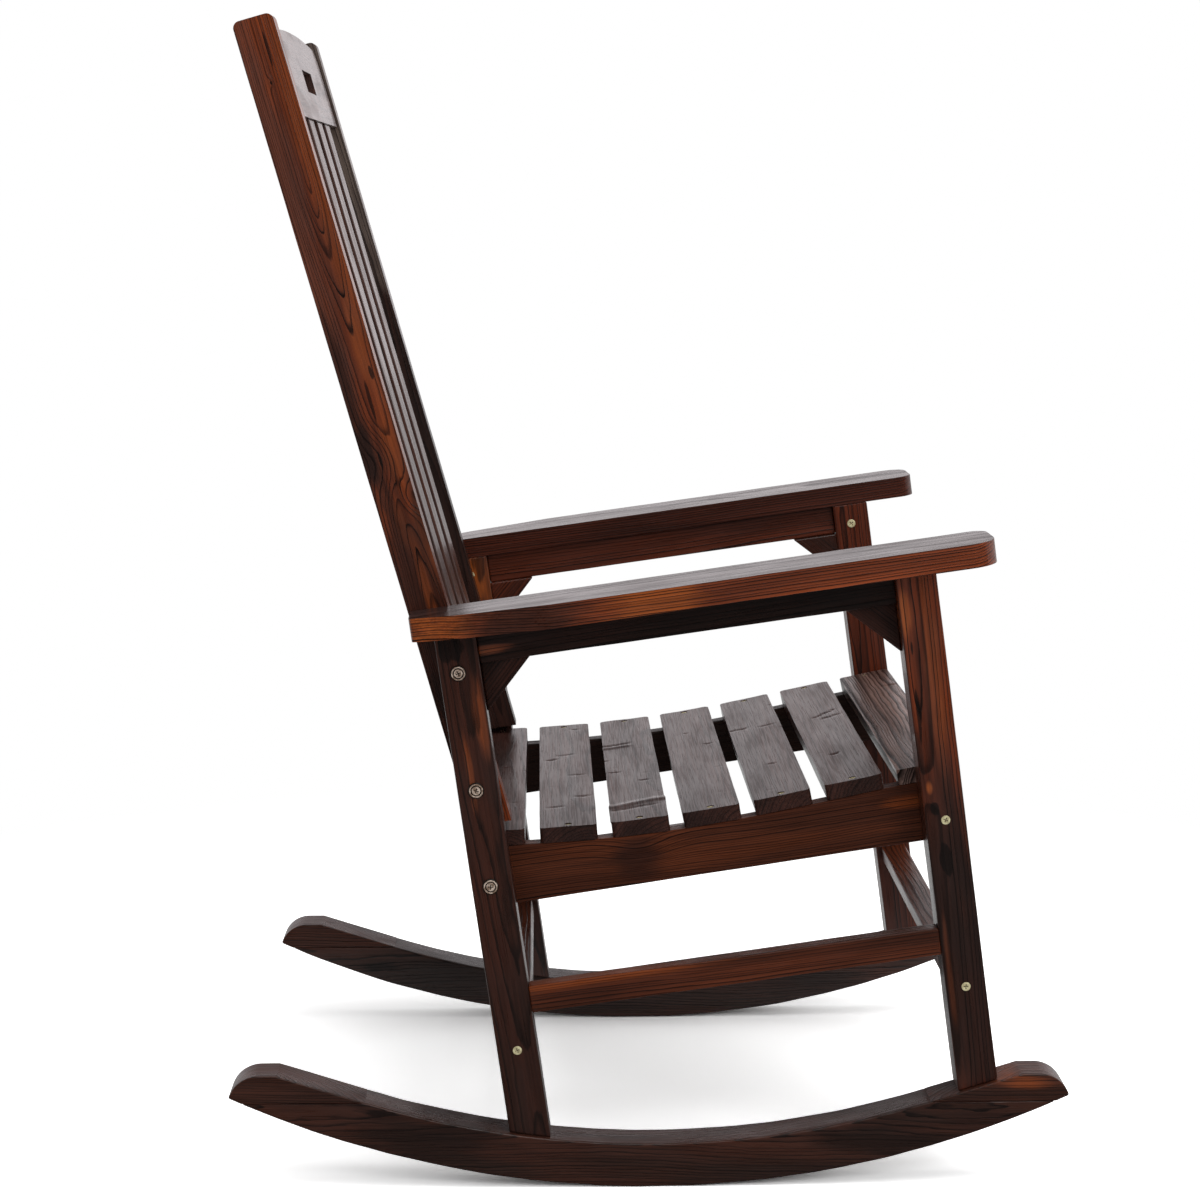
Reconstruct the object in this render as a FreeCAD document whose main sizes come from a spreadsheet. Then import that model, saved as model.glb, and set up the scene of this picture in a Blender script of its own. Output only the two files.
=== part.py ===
import FreeCAD, Part
import math
import os

import Sketcher

# Porch rocking chair in screwed softwood boards, all sizes in millimetres.
# X runs across the chair, the front faces -Y, +Z is up, and the origin is on the
# floor under the middle of the rockers. The left side is +X and is modelled; the
# right side is its mirror image.
#
# The side frames lean back by frame_tilt. Their places are given in a tilted frame
# of their own: "along" runs forward and up along the seat rail, "up" runs up and
# back along the legs. The back leans further, by back_tilt, and has a frame too.

SIZES = {
    # stance
    "frame_tilt": 8.0,
    "back_tilt": 15.8,
    "frame_setback": 19.1,
    "inner_width": 486.0,
    # rockers: a runner sawn from one board, with a block glued on at each end
    "rocker_radius": 979.2,
    "rocker_depth": 44.3,
    "rocker_thickness": 42.0,
    "front_reach": 413.0,
    "rear_reach": 420.3,
    "tip_height": 22.2,
    "tip_round": 31.0,
    "glue_drop": 6.0,
    # legs, placed from the rockers' tips
    "leg_width": 40.0,
    "leg_thickness": 36.0,
    "front_leg_inset": 60.7,
    "rear_leg_inset": 325.0,
    # rails and stretchers of the side frames
    "low_rail_top": 217.8,
    "low_rail_width": 27.3,
    "low_rail_thickness": 20.0,
    "cross_rail_height": 155.0,
    "cross_rail_width": 28.0,
    "cross_rail_thickness": 17.0,
    "arm_rail_width": 33.0,
    "arm_rail_thickness": 20.0,
    "arm_rail_inset": 7.0,
    "brace_length": 50.0,
    "brace_thickness": 16.0,
    "brace_inset": 1.0,
    # armrests, clipped at the outer rear corner in two steps
    "arm_top": 599.0,
    "arm_thickness": 23.0,
    "arm_width": 82.0,
    "arm_overhang": 55.7,
    "arm_tail": 20.7,
    "arm_front_round": 27.0,
    "arm_inner_round": 17.0,
    "arm_rear_round": 6.0,
    "long_clip_length": 136.0,
    "short_clip_length": 46.0,
    "long_clip_width": 17.0,
    "short_clip_width": 16.0,
    # seat: dished rails that carry seven boards
    "seat_rail_thickness": 20.0,
    "seat_rail_rear_width": 51.6,
    "seat_rail_front_width": 46.1,
    "seat_rail_overrun": 2.5,
    "dish_height": 344.6,
    "dish_inset": 180.3,
    "dish_radius": 1500.0,
    "dish_rear_run": 125.0,
    "dish_front_run": 105.0,
    "slat_width": 57.0,
    "slat_thickness": 15.5,
    "first_slat_inset": 7.9,
    "last_slat_inset": 8.3,
    "slat_corner_round": 5.0,
    # back
    "post_thickness": 27.0,
    "post_width": 39.4,
    "post_inset": 388.4,
    "post_rise": 10.3,
    "post_gap": 8.0,
    "post_corner_round": 7.0,
    "head_foot": 1102.0,
    "head_straight_height": 36.0,
    "head_shoulder_round": 50.0,
    "head_crown_height": 4.0,
    "head_thickness": 20.0,
    "head_inset": 6.4,
    "slot_width": 98.0,
    "slot_height": 23.0,
    "slot_rise": 41.0,
    "back_rail_rise": 136.0,
    "back_rail_width": 50.0,
    "back_slat_width": 54.0,
    "back_slat_thickness": 12.0,
    "back_slat_pitch": 96.0,
    "back_slat_inset": 8.1,
    "tenon_length": 12.0,
    "tenon_shoulder": 2.0,
    # bolts with raised heads that hold the posts and the seat rails
    "bolt_head_radius": 7.5,
    "bolt_crown_radius": 6.2,
    "bolt_head_height": 2.0,
    "bolt_radius": 3.5,
    "bolt_length": 58.0,
    "upper_bolt_drop": 61.0,
    "middle_bolt_rise": 76.4,
    "rail_bolt_drop": 20.7,
    "bolt_offset": 1.7,
    "rail_bolt_length": 52.0,
    # countersunk screws at the front rail and the cross stretchers
    "screw_head_radius": 4.5,
    "screw_head_depth": 3.0,
    "screw_radius": 2.2,
    "frame_screw_length": 66.0,
    "rail_screw_length": 50.0,
    "rail_screw_drop": 19.0,
    "seat_screw_head_radius": 3.8,
    "seat_screw_radius": 1.9,
    "seat_screw_length": 40.0,
    "seat_screw_sink": 1.5,
    # screws driven upwards: legs into armrests, rockers into legs
    "toe_screw_drop": 20.0,
    "toe_screw_angle": 50.0,
    "toe_screw_length": 42.0,
    "toe_screw_sink": 6.0,
    "foot_screw_length": 62.0,
    "foot_screw_sink": 8.0,
    # dowels hidden in the joints
    "dowel_radius": 4.0,
    "dowel_length": 34.0,
    "dowel_inset": 13.0,
}

SLAT_COUNT = 7
BACK_SLAT_COUNT = 3

doc = FreeCAD.newDocument("rocking_chair")
sheet = doc.addObject("Spreadsheet::Sheet", "Sizes")
for row, (name, value) in enumerate(SIZES.items(), start=1):
    sheet.set("A%d" % row, name)
    sheet.set("B%d" % row, str(value))
    sheet.setAlias("B%d" % row, name)
doc.recompute()


class Size:
    """A number together with the sheet formula that gives it."""

    def __init__(self, value, text):
        self.value = value
        self.text = text

    def __add__(self, other):
        other = as_size(other)
        return Size(self.value + other.value, "(%s + %s)" % (self.text, other.text))

    def __sub__(self, other):
        other = as_size(other)
        return Size(self.value - other.value, "(%s - %s)" % (self.text, other.text))

    def __mul__(self, other):
        other = as_size(other)
        return Size(self.value * other.value, "(%s * %s)" % (self.text, other.text))

    def __truediv__(self, other):
        other = as_size(other)
        return Size(self.value / other.value, "(%s / %s)" % (self.text, other.text))

    def __neg__(self):
        return Size(-self.value, "(-1 * %s)" % self.text)


def as_size(number):
    return number if isinstance(number, Size) else Size(float(number), repr(float(number)))


def cell(name):
    return Size(float(sheet.get(name)), "Sizes.%s" % name)


def root(size):
    return Size(math.sqrt(size.value), "sqrt(%s)" % size.text)


def sine(angle):
    return Size(math.sin(math.radians(angle.value)), "sin(%s)" % angle.text)


def cosine(angle):
    return Size(math.cos(math.radians(angle.value)), "cos(%s)" % angle.text)


def angle_of_sine(share):
    return Size(math.degrees(math.asin(share.value)), "(asin(%s) / 1 deg)" % share.text)


ZERO = as_size(0)
tilt = cell("frame_tilt")
lean = cell("back_tilt")
inner = cell("inner_width") / 2
radius = cell("rocker_radius")
# The rockers' arcs are about one axis, a little forward of the origin because the
# rockers reach further to the rear.
axis_y = (cell("front_reach") - cell("rear_reach")) / 2
setback = axis_y + cell("frame_setback")
across_x = FreeCAD.Vector(1, 0, 0)
across_y = FreeCAD.Vector(0, 1, 0)
upright = FreeCAD.Vector(0, 0, 1)


def tilted(along, up):
    """World y and z of a place in the side frames' tilted frame."""
    y = setback - along * cosine(tilt) + up * sine(tilt)
    z = along * sine(tilt) + up * cosine(tilt)
    return y, z


def leaned(depth, height):
    """World y and z of a place in the back's leaning frame, depth measured backwards."""
    y = axis_y + depth * cosine(lean) + height * sine(lean)
    z = height * cosine(lean) - depth * sine(lean)
    return y, z


def put(thing, x, yz, axis=across_x, angle=ZERO):
    """Binds a thing's place, and its turn about one axis, to the sheet."""
    y, z = yz
    base = FreeCAD.Vector(x.value, y.value, z.value)
    thing.Placement = FreeCAD.Placement(base, FreeCAD.Rotation(axis, angle.value))
    for letter, size in (("x", x), ("y", y), ("z", z)):
        thing.setExpression("Placement.Base.%s" % letter, size.text)
    if angle is not ZERO:
        thing.setExpression("Placement.Rotation.Angle", angle.text)
    return thing


def bound(kind, name, **sizes):
    """A Part primitive whose properties follow the sheet."""
    thing = doc.addObject(kind, name)
    for key, size in sizes.items():
        thing.setExpression(key, size.text)
    return thing


def bar(name, length, width, height):
    return bound("Part::Box", name, Length=length, Width=width, Height=height)


def arc_between(start, end, size, turn):
    """Arc from start to end; turn is 1 where the path bends left and -1 where right."""
    chord = end - start
    middle = (start + end) * 0.5
    rise = math.sqrt(max(size ** 2 - (chord.Length / 2) ** 2, 0))
    left = FreeCAD.Vector(-chord.y, chord.x, 0).normalize()
    centre = middle + left * rise * turn
    first, last = (start, end) if turn > 0 else (end, start)
    angles = [math.atan2(p.y - centre.y, p.x - centre.x) for p in (first, last)]
    if angles[1] < angles[0]:
        angles[1] += 2 * math.pi
    return Part.ArcOfCircle(Part.Circle(centre, upright, size), angles[0], angles[1])


def draw(sketch, path):
    """Closed outline of corners (u, v) and of arcs, each (u, v, radius, turn) to its end."""
    corners = [FreeCAD.Vector(step[0].value, step[1].value, 0) for step in path]
    ends = []
    for number, step in enumerate(path):
        start = corners[number - 1]
        end = corners[number]
        if len(step) == 2:
            edge = sketch.addGeometry(Part.LineSegment(start, end), False)
            ends.append((edge, 1, 2))
            continue
        edge = sketch.addGeometry(arc_between(start, end, step[2].value, step[3]), False)
        ends.append((edge, 1, 2) if step[3] > 0 else (edge, 2, 1))
    for number in range(len(path)):
        edge, first, last = ends[number]
        ahead, ahead_first, ahead_last = ends[(number + 1) % len(path)]
        sketch.addConstraint(Sketcher.Constraint("Coincident", edge, last, ahead, ahead_first))
    for number, step in enumerate(path):
        edge, first, last = ends[number]
        for kind, size in (("DistanceX", step[0]), ("DistanceY", step[1])):
            mark = sketch.addConstraint(Sketcher.Constraint(kind, -1, 1, edge, last, size.value))
            sketch.setExpression("Constraints[%d]" % mark, size.text)
        if len(step) == 4:
            mark = sketch.addConstraint(Sketcher.Constraint("Radius", edge, step[2].value))
            sketch.setExpression("Constraints[%d]" % mark, step[2].text)


def board(name, plane, thickness, *paths):
    """A body sawn to an outline: the first path is its edge, any others are holes."""
    body = doc.addObject("PartDesign::Body", name)
    sketch = body.newObject("Sketcher::SketchObject", name + "_outline")
    origin_plane = [item for item in body.Origin.OriginFeatures if item.Role == plane][0]
    sketch.AttachmentSupport = [(origin_plane, "")]
    sketch.MapMode = "FlatFace"
    for path in paths:
        draw(sketch, path)
    pad = body.newObject("PartDesign::Pad", name + "_board")
    pad.Profile = sketch
    pad.setExpression("Length", thickness.text)
    return body


def rectangle(width, height, centre):
    half = width / 2
    low = centre - height / 2
    high = centre + height / 2
    return [(-half, low), (half, low), (half, high), (-half, high)]


def group(name, members):
    compound = doc.addObject("Part::Compound", name)
    compound.Links = members
    return compound


def cut(name, base, tools):
    """The base piece with the tools' space taken out of it."""
    piece = doc.addObject("Part::Cut", name)
    piece.Base = base
    piece.Tool = tools[0] if len(tools) == 1 else group(name + "_tools", tools)
    return piece


def mirrored(source, name):
    piece = doc.addObject("Part::Mirroring", name)
    piece.Source = source
    piece.Normal = across_x
    return piece


parts = []


def keep(piece, label):
    piece.Label = label
    parts.append(piece)


def keep_both(piece, label):
    """Keeps a left piece and makes its right twin."""
    keep(piece, label + "_left")
    keep(mirrored(piece, label + "_mirror"), label + "_right")


# Places that several pieces share, in the tilted frame.
half_leg = cell("leg_width") / 2
rear_leg = cell("rear_leg_inset") - cell("rear_reach")
front_leg = cell("front_reach") - cell("front_leg_inset")
rear_leg_back = rear_leg - half_leg
rear_leg_front = rear_leg + half_leg
front_leg_back = front_leg - half_leg
front_leg_front = front_leg + half_leg
arm_foot = cell("arm_top") - cell("arm_thickness")
arm_rail_foot = arm_foot - cell("arm_rail_width")
band_radius = radius - cell("rocker_depth")
dish_station = rear_leg + cell("dish_inset")


def height_on(circle, reach):
    """Height above the floor of a circle about the rocking axis, at a reach from the axis."""
    return radius - root(circle * circle - reach * reach)


def dish(station):
    """Height and slope of the seat rail's top edge: an arc with straight runs at its ends."""
    bend = cell("dish_radius")
    offset = station - dish_station
    run = cell("dish_rear_run") if offset.value < 0 else cell("dish_front_run")
    if abs(offset.value) <= run.value:
        rise = bend - root(bend * bend - offset * offset)
        return cell("dish_height") + rise, angle_of_sine(offset / bend)
    sign = 1 if offset.value > 0 else -1
    slope = angle_of_sine(run * sign / bend)
    rise = bend - root(bend * bend - run * run)
    extra = (offset - run * sign) * sine(slope) / cosine(slope)
    return cell("dish_height") + rise + extra, slope


# Fasteners. Each is built along its own +Z, which points into the wood.

def screw(name, head, depth, shank, length, place):
    """Countersunk screw whose flat head top is at its place."""
    cone = bound("Part::Cone", name + "_head", Radius1=head, Radius2=shank, Height=depth)
    stem = bound("Part::Cylinder", name + "_shank", Radius=shank, Height=length)
    for piece in (cone, stem):
        place(piece, ZERO)
    whole = doc.addObject("Part::Fuse", name)
    whole.Base = cone
    whole.Tool = stem
    return whole


def bore(name, size, sink, place):
    """The empty hole above a sunk screw head."""
    hole = bound("Part::Cylinder", name + "_bore", Radius=size, Height=sink)
    place(hole, -sink)
    return hole


def raised_bolt(name, station, length):
    """Bolt with a low raised head on the rear leg's outer face."""
    face = inner + cell("leg_thickness")
    along = rear_leg - cell("bolt_offset")
    crown = cell("bolt_head_height")
    head = bound("Part::Cone", name + "_head", Radius1=cell("bolt_crown_radius"),
                 Radius2=cell("bolt_head_radius"), Height=crown)
    put(head, face + crown, tilted(along, station), across_y, as_size(-90))
    stem = bound("Part::Cylinder", name + "_shank", Radius=cell("bolt_radius"), Height=length)
    put(stem, face, tilted(along, station), across_y, as_size(-90))
    whole = doc.addObject("Part::Fuse", name)
    whole.Base = head
    whole.Tool = stem
    return whole


def dowel(name, x, yz, axis, angle):
    pin = bound("Part::Cylinder", name, Radius=cell("dowel_radius"), Height=cell("dowel_length"))
    return put(pin, x, yz, axis, angle)


bolts = [
    raised_bolt("bolt_upper", cell("arm_top") - cell("upper_bolt_drop"), cell("bolt_length")),
    raised_bolt("bolt_middle", cell("dish_height") + cell("middle_bolt_rise"),
                cell("bolt_length")),
    raised_bolt("bolt_rail", cell("dish_height") - cell("rail_bolt_drop"),
                cell("rail_bolt_length")),
]
bolts_left = group("bolts_left", bolts)
bolts_right = mirrored(bolts_left, "bolts_right")
keep(group("post_bolts", [bolts_left, bolts_right]), "post_bolts")


def side_screw(name, along, up, length):
    """Screw driven inwards from the outer face of a left leg."""
    def place(piece, shift):
        x = inner + cell("leg_thickness") - shift
        put(piece, x, tilted(along, up), across_y, as_size(-90))
    return screw(name, cell("screw_head_radius"), cell("screw_head_depth"),
                 cell("screw_radius"), length, place)


cross_up = cell("cross_rail_height")
frame_screws = [
    side_screw("screw_front_rail", front_leg, cell("dish_height") - cell("rail_screw_drop"),
               cell("rail_screw_length")),
    side_screw("screw_front_cross", front_leg, cross_up, cell("frame_screw_length")),
    side_screw("screw_rear_cross", rear_leg, cross_up, cell("frame_screw_length")),
]
frame_screws_left = group("frame_screws_left", frame_screws)
frame_screws_right = mirrored(frame_screws_left, "frame_screws_right")
keep(group("frame_screws", [frame_screws_left, frame_screws_right]), "frame_screws")


def toe_screw(name, along):
    """Screw driven up through a left leg's inner face into the armrest."""
    rise = cell("toe_screw_angle")
    up = arm_foot - cell("toe_screw_drop")

    def place(piece, shift):
        reach = cell("toe_screw_sink") + shift
        y, z = tilted(along, up + reach * sine(rise))
        put(piece, inner + reach * cosine(rise), (y, z))
        leg_up = FreeCAD.Rotation(across_x, -tilt.value).multVec(upright)
        flat = math.cos(math.radians(rise.value))
        steep = math.sin(math.radians(rise.value))
        piece.Placement.Rotation = FreeCAD.Rotation(upright, across_x * flat + leg_up * steep)
    whole = screw(name, cell("screw_head_radius"), cell("screw_head_depth"),
                  cell("screw_radius"), cell("toe_screw_length"), place)
    sink = cell("toe_screw_sink") * 2
    return whole, bore(name, cell("screw_head_radius"), sink, place)


toe_pairs = [toe_screw("toe_rear", rear_leg), toe_screw("toe_front", front_leg)]
toe_left = group("toe_left", [pair[0] for pair in toe_pairs])
toe_bores = group("toe_bores", [pair[1] for pair in toe_pairs])
keep(group("arm_screws", [toe_left, mirrored(toe_left, "toe_right")]), "arm_screws")


def foot_screw(name, station):
    """Screw driven up through the rocker's sole into the foot of a left leg."""
    middle_y, middle_z = tilted(station, ZERO)
    reach = middle_y - axis_y
    x = inner + cell("leg_thickness") / 2
    # Distance up the leg's line at which it leaves the sole.
    drop = (radius - middle_z) * cosine(tilt) - reach * sine(tilt)
    span = (radius - middle_z) * (radius - middle_z) + reach * reach - radius * radius
    sole = drop - root(drop * drop - span)

    def place(piece, shift):
        up = sole + cell("foot_screw_sink") + shift
        put(piece, x, tilted(station, up), across_x, -tilt)
    whole = screw(name, cell("screw_head_radius"), cell("screw_head_depth"),
                  cell("screw_radius"), cell("foot_screw_length"), place)
    return whole, bore(name, cell("screw_head_radius"), cell("foot_screw_sink") * 2, place)


foot_pairs = [foot_screw("foot_rear", rear_leg), foot_screw("foot_front", front_leg)]
foot_left = group("foot_left", [pair[0] for pair in foot_pairs])
foot_bores = group("foot_bores", [pair[1] for pair in foot_pairs])
keep(group("rocker_screws", [foot_left, mirrored(foot_left, "foot_right")]), "rocker_screws")


def along_dowel(name, station, up, x):
    """Dowel that runs along the side frame, centred on a leg's face."""
    start = station - cell("dowel_length") / 2
    return dowel(name, x, tilted(start, up), across_x, as_size(90) - tilt)


low_rail_x = inner + cell("leg_thickness") - cell("low_rail_thickness") / 2
low_rail_up = cell("low_rail_top") - cell("low_rail_width") / 2
arm_rail_x = inner + cell("arm_rail_inset") + cell("arm_rail_thickness") / 2
arm_rail_up = arm_rail_foot + cell("arm_rail_width") / 3
side_dowels = group("side_dowels", [
    along_dowel("dowel_stretcher_rear", rear_leg_front, low_rail_up, low_rail_x),
    along_dowel("dowel_stretcher_front", front_leg_back, low_rail_up, low_rail_x),
    along_dowel("dowel_arm_rail_rear", rear_leg_front, arm_rail_up, arm_rail_x),
    along_dowel("dowel_arm_rail_front", front_leg_back, arm_rail_up, arm_rail_x),
])
keep(group("frame_dowels", [side_dowels, mirrored(side_dowels, "side_dowels_right")]),
     "frame_dowels")

# Back's leaning frame: depth behind the origin, height along the posts.
post_inner = inner - cell("post_thickness")
post_front = cell("rear_reach") - cell("post_inset")
head_front = post_front + cell("head_inset")
head_depth = head_front + cell("head_thickness") / 2
back_rail_foot = cell("dish_height") + cell("back_rail_rise")
back_rail_top = back_rail_foot + cell("back_rail_width")
head_straight_top = cell("head_foot") + cell("head_straight_height")
head_shoulder_top = head_straight_top + cell("head_shoulder_round")


def across_dowel(name, height):
    """Dowel that runs across the chair, half in the left post and half in a back board."""
    start = post_inner - cell("dowel_length") / 2
    return dowel(name, start, leaned(head_depth, height), across_y, as_size(90))


back_dowels_left = group("back_dowels_left", [
    across_dowel("dowel_head_low", cell("head_foot") + cell("dowel_inset")),
    across_dowel("dowel_head_high", head_straight_top),
    across_dowel("dowel_rail_low", back_rail_foot + cell("dowel_inset")),
    across_dowel("dowel_rail_high", back_rail_top - cell("dowel_inset")),
])
back_dowels_right = mirrored(back_dowels_left, "back_dowels_right")
keep(group("back_dowels", [back_dowels_left, back_dowels_right]), "back_dowels")

# Rockers. The runner's sole and its top edge are arcs about the rocking axis. Each end
# block runs on straight from the top edge, levels off, and is rounded down to the tip.


class RockerEnd:
    """Places on one end of the rocker: sign is 1 at the rear and -1 in front."""

    def __init__(self, reach_name, sign):
        self.sign = sign
        self.tip_reach = cell(reach_name)
        self.tip_up = height_on(radius, self.tip_reach)
        self.glue = self.tip_up - cell("glue_drop")
        fall = radius - self.glue
        self.sole_reach = root(radius * radius - fall * fall)
        self.edge_reach = root(band_radius * band_radius - fall * fall)
        self.slope = self.edge_reach / fall

    def shoulder_up(self, reach):
        """Height of the straight shoulder line at a reach."""
        return self.glue + (reach - self.edge_reach) * self.slope

    def block_path(self):
        sign = self.sign
        tip_round = cell("tip_round")
        top = self.tip_up + cell("tip_height")
        rise = tip_round - cell("tip_height")
        level_end = self.tip_reach - root(tip_round * tip_round - rise * rise)
        level_start = self.edge_reach + (top - self.glue) / self.slope
        return [
            (self.edge_reach * sign, self.glue),
            (self.sole_reach * sign, self.glue),
            (self.tip_reach * sign, self.tip_up, radius, sign),
            (level_end * sign, top, tip_round, sign),
            (level_start * sign, top),
        ]


rear_end = RockerEnd("rear_reach", 1)
front_end = RockerEnd("front_reach", -1)
runner = board("runner", "YZ_Plane", cell("rocker_thickness"), [
    (-front_end.sole_reach, front_end.glue),
    (rear_end.sole_reach, rear_end.glue, radius, 1),
    (rear_end.edge_reach, rear_end.glue),
    (-front_end.edge_reach, front_end.glue, band_radius, -1),
])
put(runner, inner, (axis_y, ZERO))
keep_both(cut("rocker_drilled", runner, [foot_left, foot_bores]), "rocker")

for name, rocker_end in (("rear", rear_end), ("front", front_end)):
    block = board("block_" + name, "YZ_Plane", cell("rocker_thickness"),
                  rocker_end.block_path())
    put(block, inner, (axis_y, ZERO))
    keep_both(cut("block_%s_drilled" % name, block, [foot_left, foot_bores]),
              "rocker_block_" + name)

# Legs. Each is scribed to the rocker: the blank reaches half way into the rocker's
# band and is trimmed to the space above the rocker's top edge.

front_limit = cell("front_reach")
rear_limit = cell("rear_reach")
space_above = board("space_above", "YZ_Plane", cell("rocker_thickness"), [
    (-front_end.edge_reach, front_end.glue),
    (rear_end.edge_reach, rear_end.glue, band_radius, 1),
    (rear_limit, rear_end.shoulder_up(rear_limit)),
    (rear_limit, radius),
    (-front_limit, radius),
    (-front_limit, front_end.shoulder_up(front_limit)),
])
put(space_above, inner, (axis_y, ZERO))
leg_tools = [bolts_left, frame_screws_left, toe_left, toe_bores, foot_left, side_dowels]
for name, station in (("rear_leg", rear_leg), ("front_leg", front_leg)):
    foot_y, foot_z = tilted(station, ZERO)
    lift = (height_on(band_radius, foot_y - axis_y) - foot_z) / cosine(tilt)
    foot = lift - cell("rocker_depth") / 2
    blank = bar(name + "_blank", cell("leg_thickness"), cell("leg_width"), arm_foot - foot)
    put(blank, inner, tilted(station + half_leg, foot), across_x, -tilt)
    scribed = doc.addObject("Part::Common", name + "_scribed")
    scribed.Base = blank
    scribed.Tool = space_above
    keep_both(cut(name + "_drilled", scribed, leg_tools), name)

# Straight bars of the side frame.

clear_span = front_leg_back - rear_leg_front
low_rail = bar("low_rail_bar", cell("low_rail_thickness"), clear_span,
               cell("low_rail_width"))
put(low_rail, inner + cell("leg_thickness") - cell("low_rail_thickness"),
    tilted(front_leg_back, cell("low_rail_top") - cell("low_rail_width")),
    across_x, -tilt)
keep_both(cut("low_rail_drilled", low_rail, [side_dowels]), "side_stretcher")

arm_rail = bar("arm_rail_bar", cell("arm_rail_thickness"), clear_span, cell("arm_rail_width"))
put(arm_rail, inner + cell("arm_rail_inset"), tilted(front_leg_back, arm_rail_foot),
    across_x, -tilt)
keep_both(cut("arm_rail_drilled", arm_rail, [side_dowels]), "arm_rail")

# Braces: right triangles in the corners under the arm rail.

brace = cell("brace_length")
for name, corner_y, sign in (("front", -front_leg_back, 1), ("rear", -rear_leg_front, -1)):
    triangle = board("brace_" + name, "YZ_Plane", cell("brace_thickness"), [
        (corner_y, arm_rail_foot),
        (corner_y + brace * sign, arm_rail_foot),
        (corner_y, arm_rail_foot - brace),
    ])
    put(triangle, inner + cell("brace_inset"), (setback, ZERO), across_x, -tilt)
    keep_both(triangle, "arm_brace_" + name)

# Armrest: straight along the post, rounded in front, clipped in two steps at the rear.

arm_front = -front_leg_front - cell("arm_overhang")
arm_rear = cell("arm_tail") - rear_leg_back
arm_outer = inner + cell("arm_width")
arm_clip = arm_outer - cell("long_clip_width")
arm_end = arm_clip - cell("short_clip_width")
front_round = cell("arm_front_round")
inner_round = cell("arm_inner_round")
rear_round = cell("arm_rear_round")
arm = board("armrest_board", "XY_Plane", cell("arm_thickness"), [
    (inner, arm_rear),
    (inner, arm_front + inner_round),
    (inner + inner_round, arm_front, inner_round, 1),
    (arm_outer - front_round, arm_front),
    (arm_outer, arm_front + front_round, front_round, 1),
    (arm_outer, arm_rear - cell("long_clip_length")),
    (arm_clip, arm_rear - cell("short_clip_length")),
    (arm_end, arm_rear - rear_round),
    (arm_end - rear_round, arm_rear, rear_round, 1),
])
put(arm, ZERO, tilted(ZERO, arm_foot), across_x, -tilt)
keep_both(cut("armrest_drilled", arm, [toe_left]), "armrest")

# Seat rails: straight below, dished above.

rail_back = rear_leg_back - cell("seat_rail_overrun")
rail_front = front_leg_front + cell("seat_rail_overrun")
bend_back = dish_station - cell("dish_rear_run")
bend_front = dish_station + cell("dish_front_run")
seat_rail = board("seat_rail_board", "YZ_Plane", cell("seat_rail_thickness"), [
    (-rail_back, cell("dish_height") - cell("seat_rail_rear_width")),
    (-rail_back, dish(rail_back)[0]),
    (-bend_back, dish(bend_back)[0]),
    (-bend_front, dish(bend_front)[0], cell("dish_radius"), -1),
    (-rail_front, dish(rail_front)[0]),
    (-rail_front, cell("dish_height") - cell("seat_rail_front_width")),
])
put(seat_rail, inner - cell("seat_rail_thickness"), (setback, ZERO), across_x, -tilt)

# Seat slats and their screws. A slat rests on the dish at its two lower edges.

first_slat = rear_leg + cell("first_slat_inset")
last_slat = front_leg - cell("last_slat_inset")
slat_pitch = (last_slat - first_slat) / (SLAT_COUNT - 1)
half_slat = cell("slat_width") / 2
bend = cell("dish_radius")
sagitta = bend - root(bend * bend - half_slat * half_slat)
screw_x = inner - cell("seat_rail_thickness") / 2
seat_screws = []
seat_bores = []
slats = []
for number in range(SLAT_COUNT):
    station = first_slat + slat_pitch * number
    height, slope = dish(station)
    turn = tilt + slope
    name = "seat_slat_%d" % (number + 1)
    corner = cell("slat_corner_round")
    end = inner - corner
    edge = half_slat - corner
    slat = board(name + "_board", "XY_Plane", cell("slat_thickness"), [
        (end, -half_slat),
        (inner, -edge, corner, 1),
        (inner, edge),
        (end, half_slat, corner, 1),
        (-end, half_slat),
        (-inner, edge, corner, 1),
        (-inner, -edge),
        (-end, -half_slat, corner, 1),
    ])
    base_along = station - sagitta * sine(slope)
    base_up = height + sagitta * cosine(slope)
    put(slat, ZERO, tilted(base_along, base_up), across_x, -turn)
    slats.append((name, slat))

    def place(piece, shift, along=base_along, up=base_up, slope=slope, turn=turn):
        depth = cell("slat_thickness") - cell("seat_screw_sink") - shift
        spot = tilted(along - depth * sine(slope), up + depth * cosine(slope))
        put(piece, screw_x, spot, across_x, as_size(180) - turn)
    seat_screws.append(screw(name + "_screw", cell("seat_screw_head_radius"),
                             cell("screw_head_depth"), cell("seat_screw_radius"),
                             cell("seat_screw_length"), place))
    seat_bores.append(bore(name, cell("seat_screw_head_radius"),
                           cell("seat_screw_sink") * 2, place))

seat_screws_left = group("seat_screws_left", seat_screws)
seat_screws_right = mirrored(seat_screws_left, "seat_screws_right")
seat_bores_left = group("seat_bores_left", seat_bores)
seat_bores_right = mirrored(seat_bores_left, "seat_bores_right")
keep(group("seat_screws", [seat_screws_left, seat_screws_right]), "seat_screws")
slat_tools = [seat_screws_left, seat_screws_right, seat_bores_left, seat_bores_right]
for name, slat in slats:
    keep(cut(name + "_drilled", slat, slat_tools), name)
keep_both(cut("seat_rail_drilled", seat_rail,
              [seat_screws_left, bolts_left, frame_screws_left]), "seat_rail")

# Cross stretchers between the legs, at the height of the low screws.

cross_foot = cross_up - cell("cross_rail_thickness") / 2
for name, station in (("front_stretcher", front_leg), ("rear_stretcher", rear_leg)):
    cross = bar(name + "_bar", cell("inner_width"), cell("cross_rail_width"),
                cell("cross_rail_thickness"))
    front_face = station + cell("cross_rail_width") / 2
    put(cross, -inner, tilted(front_face, cross_foot), across_x, -tilt)
    keep(cut(name + "_drilled", cross, [frame_screws_left, frame_screws_right]), name)

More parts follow.
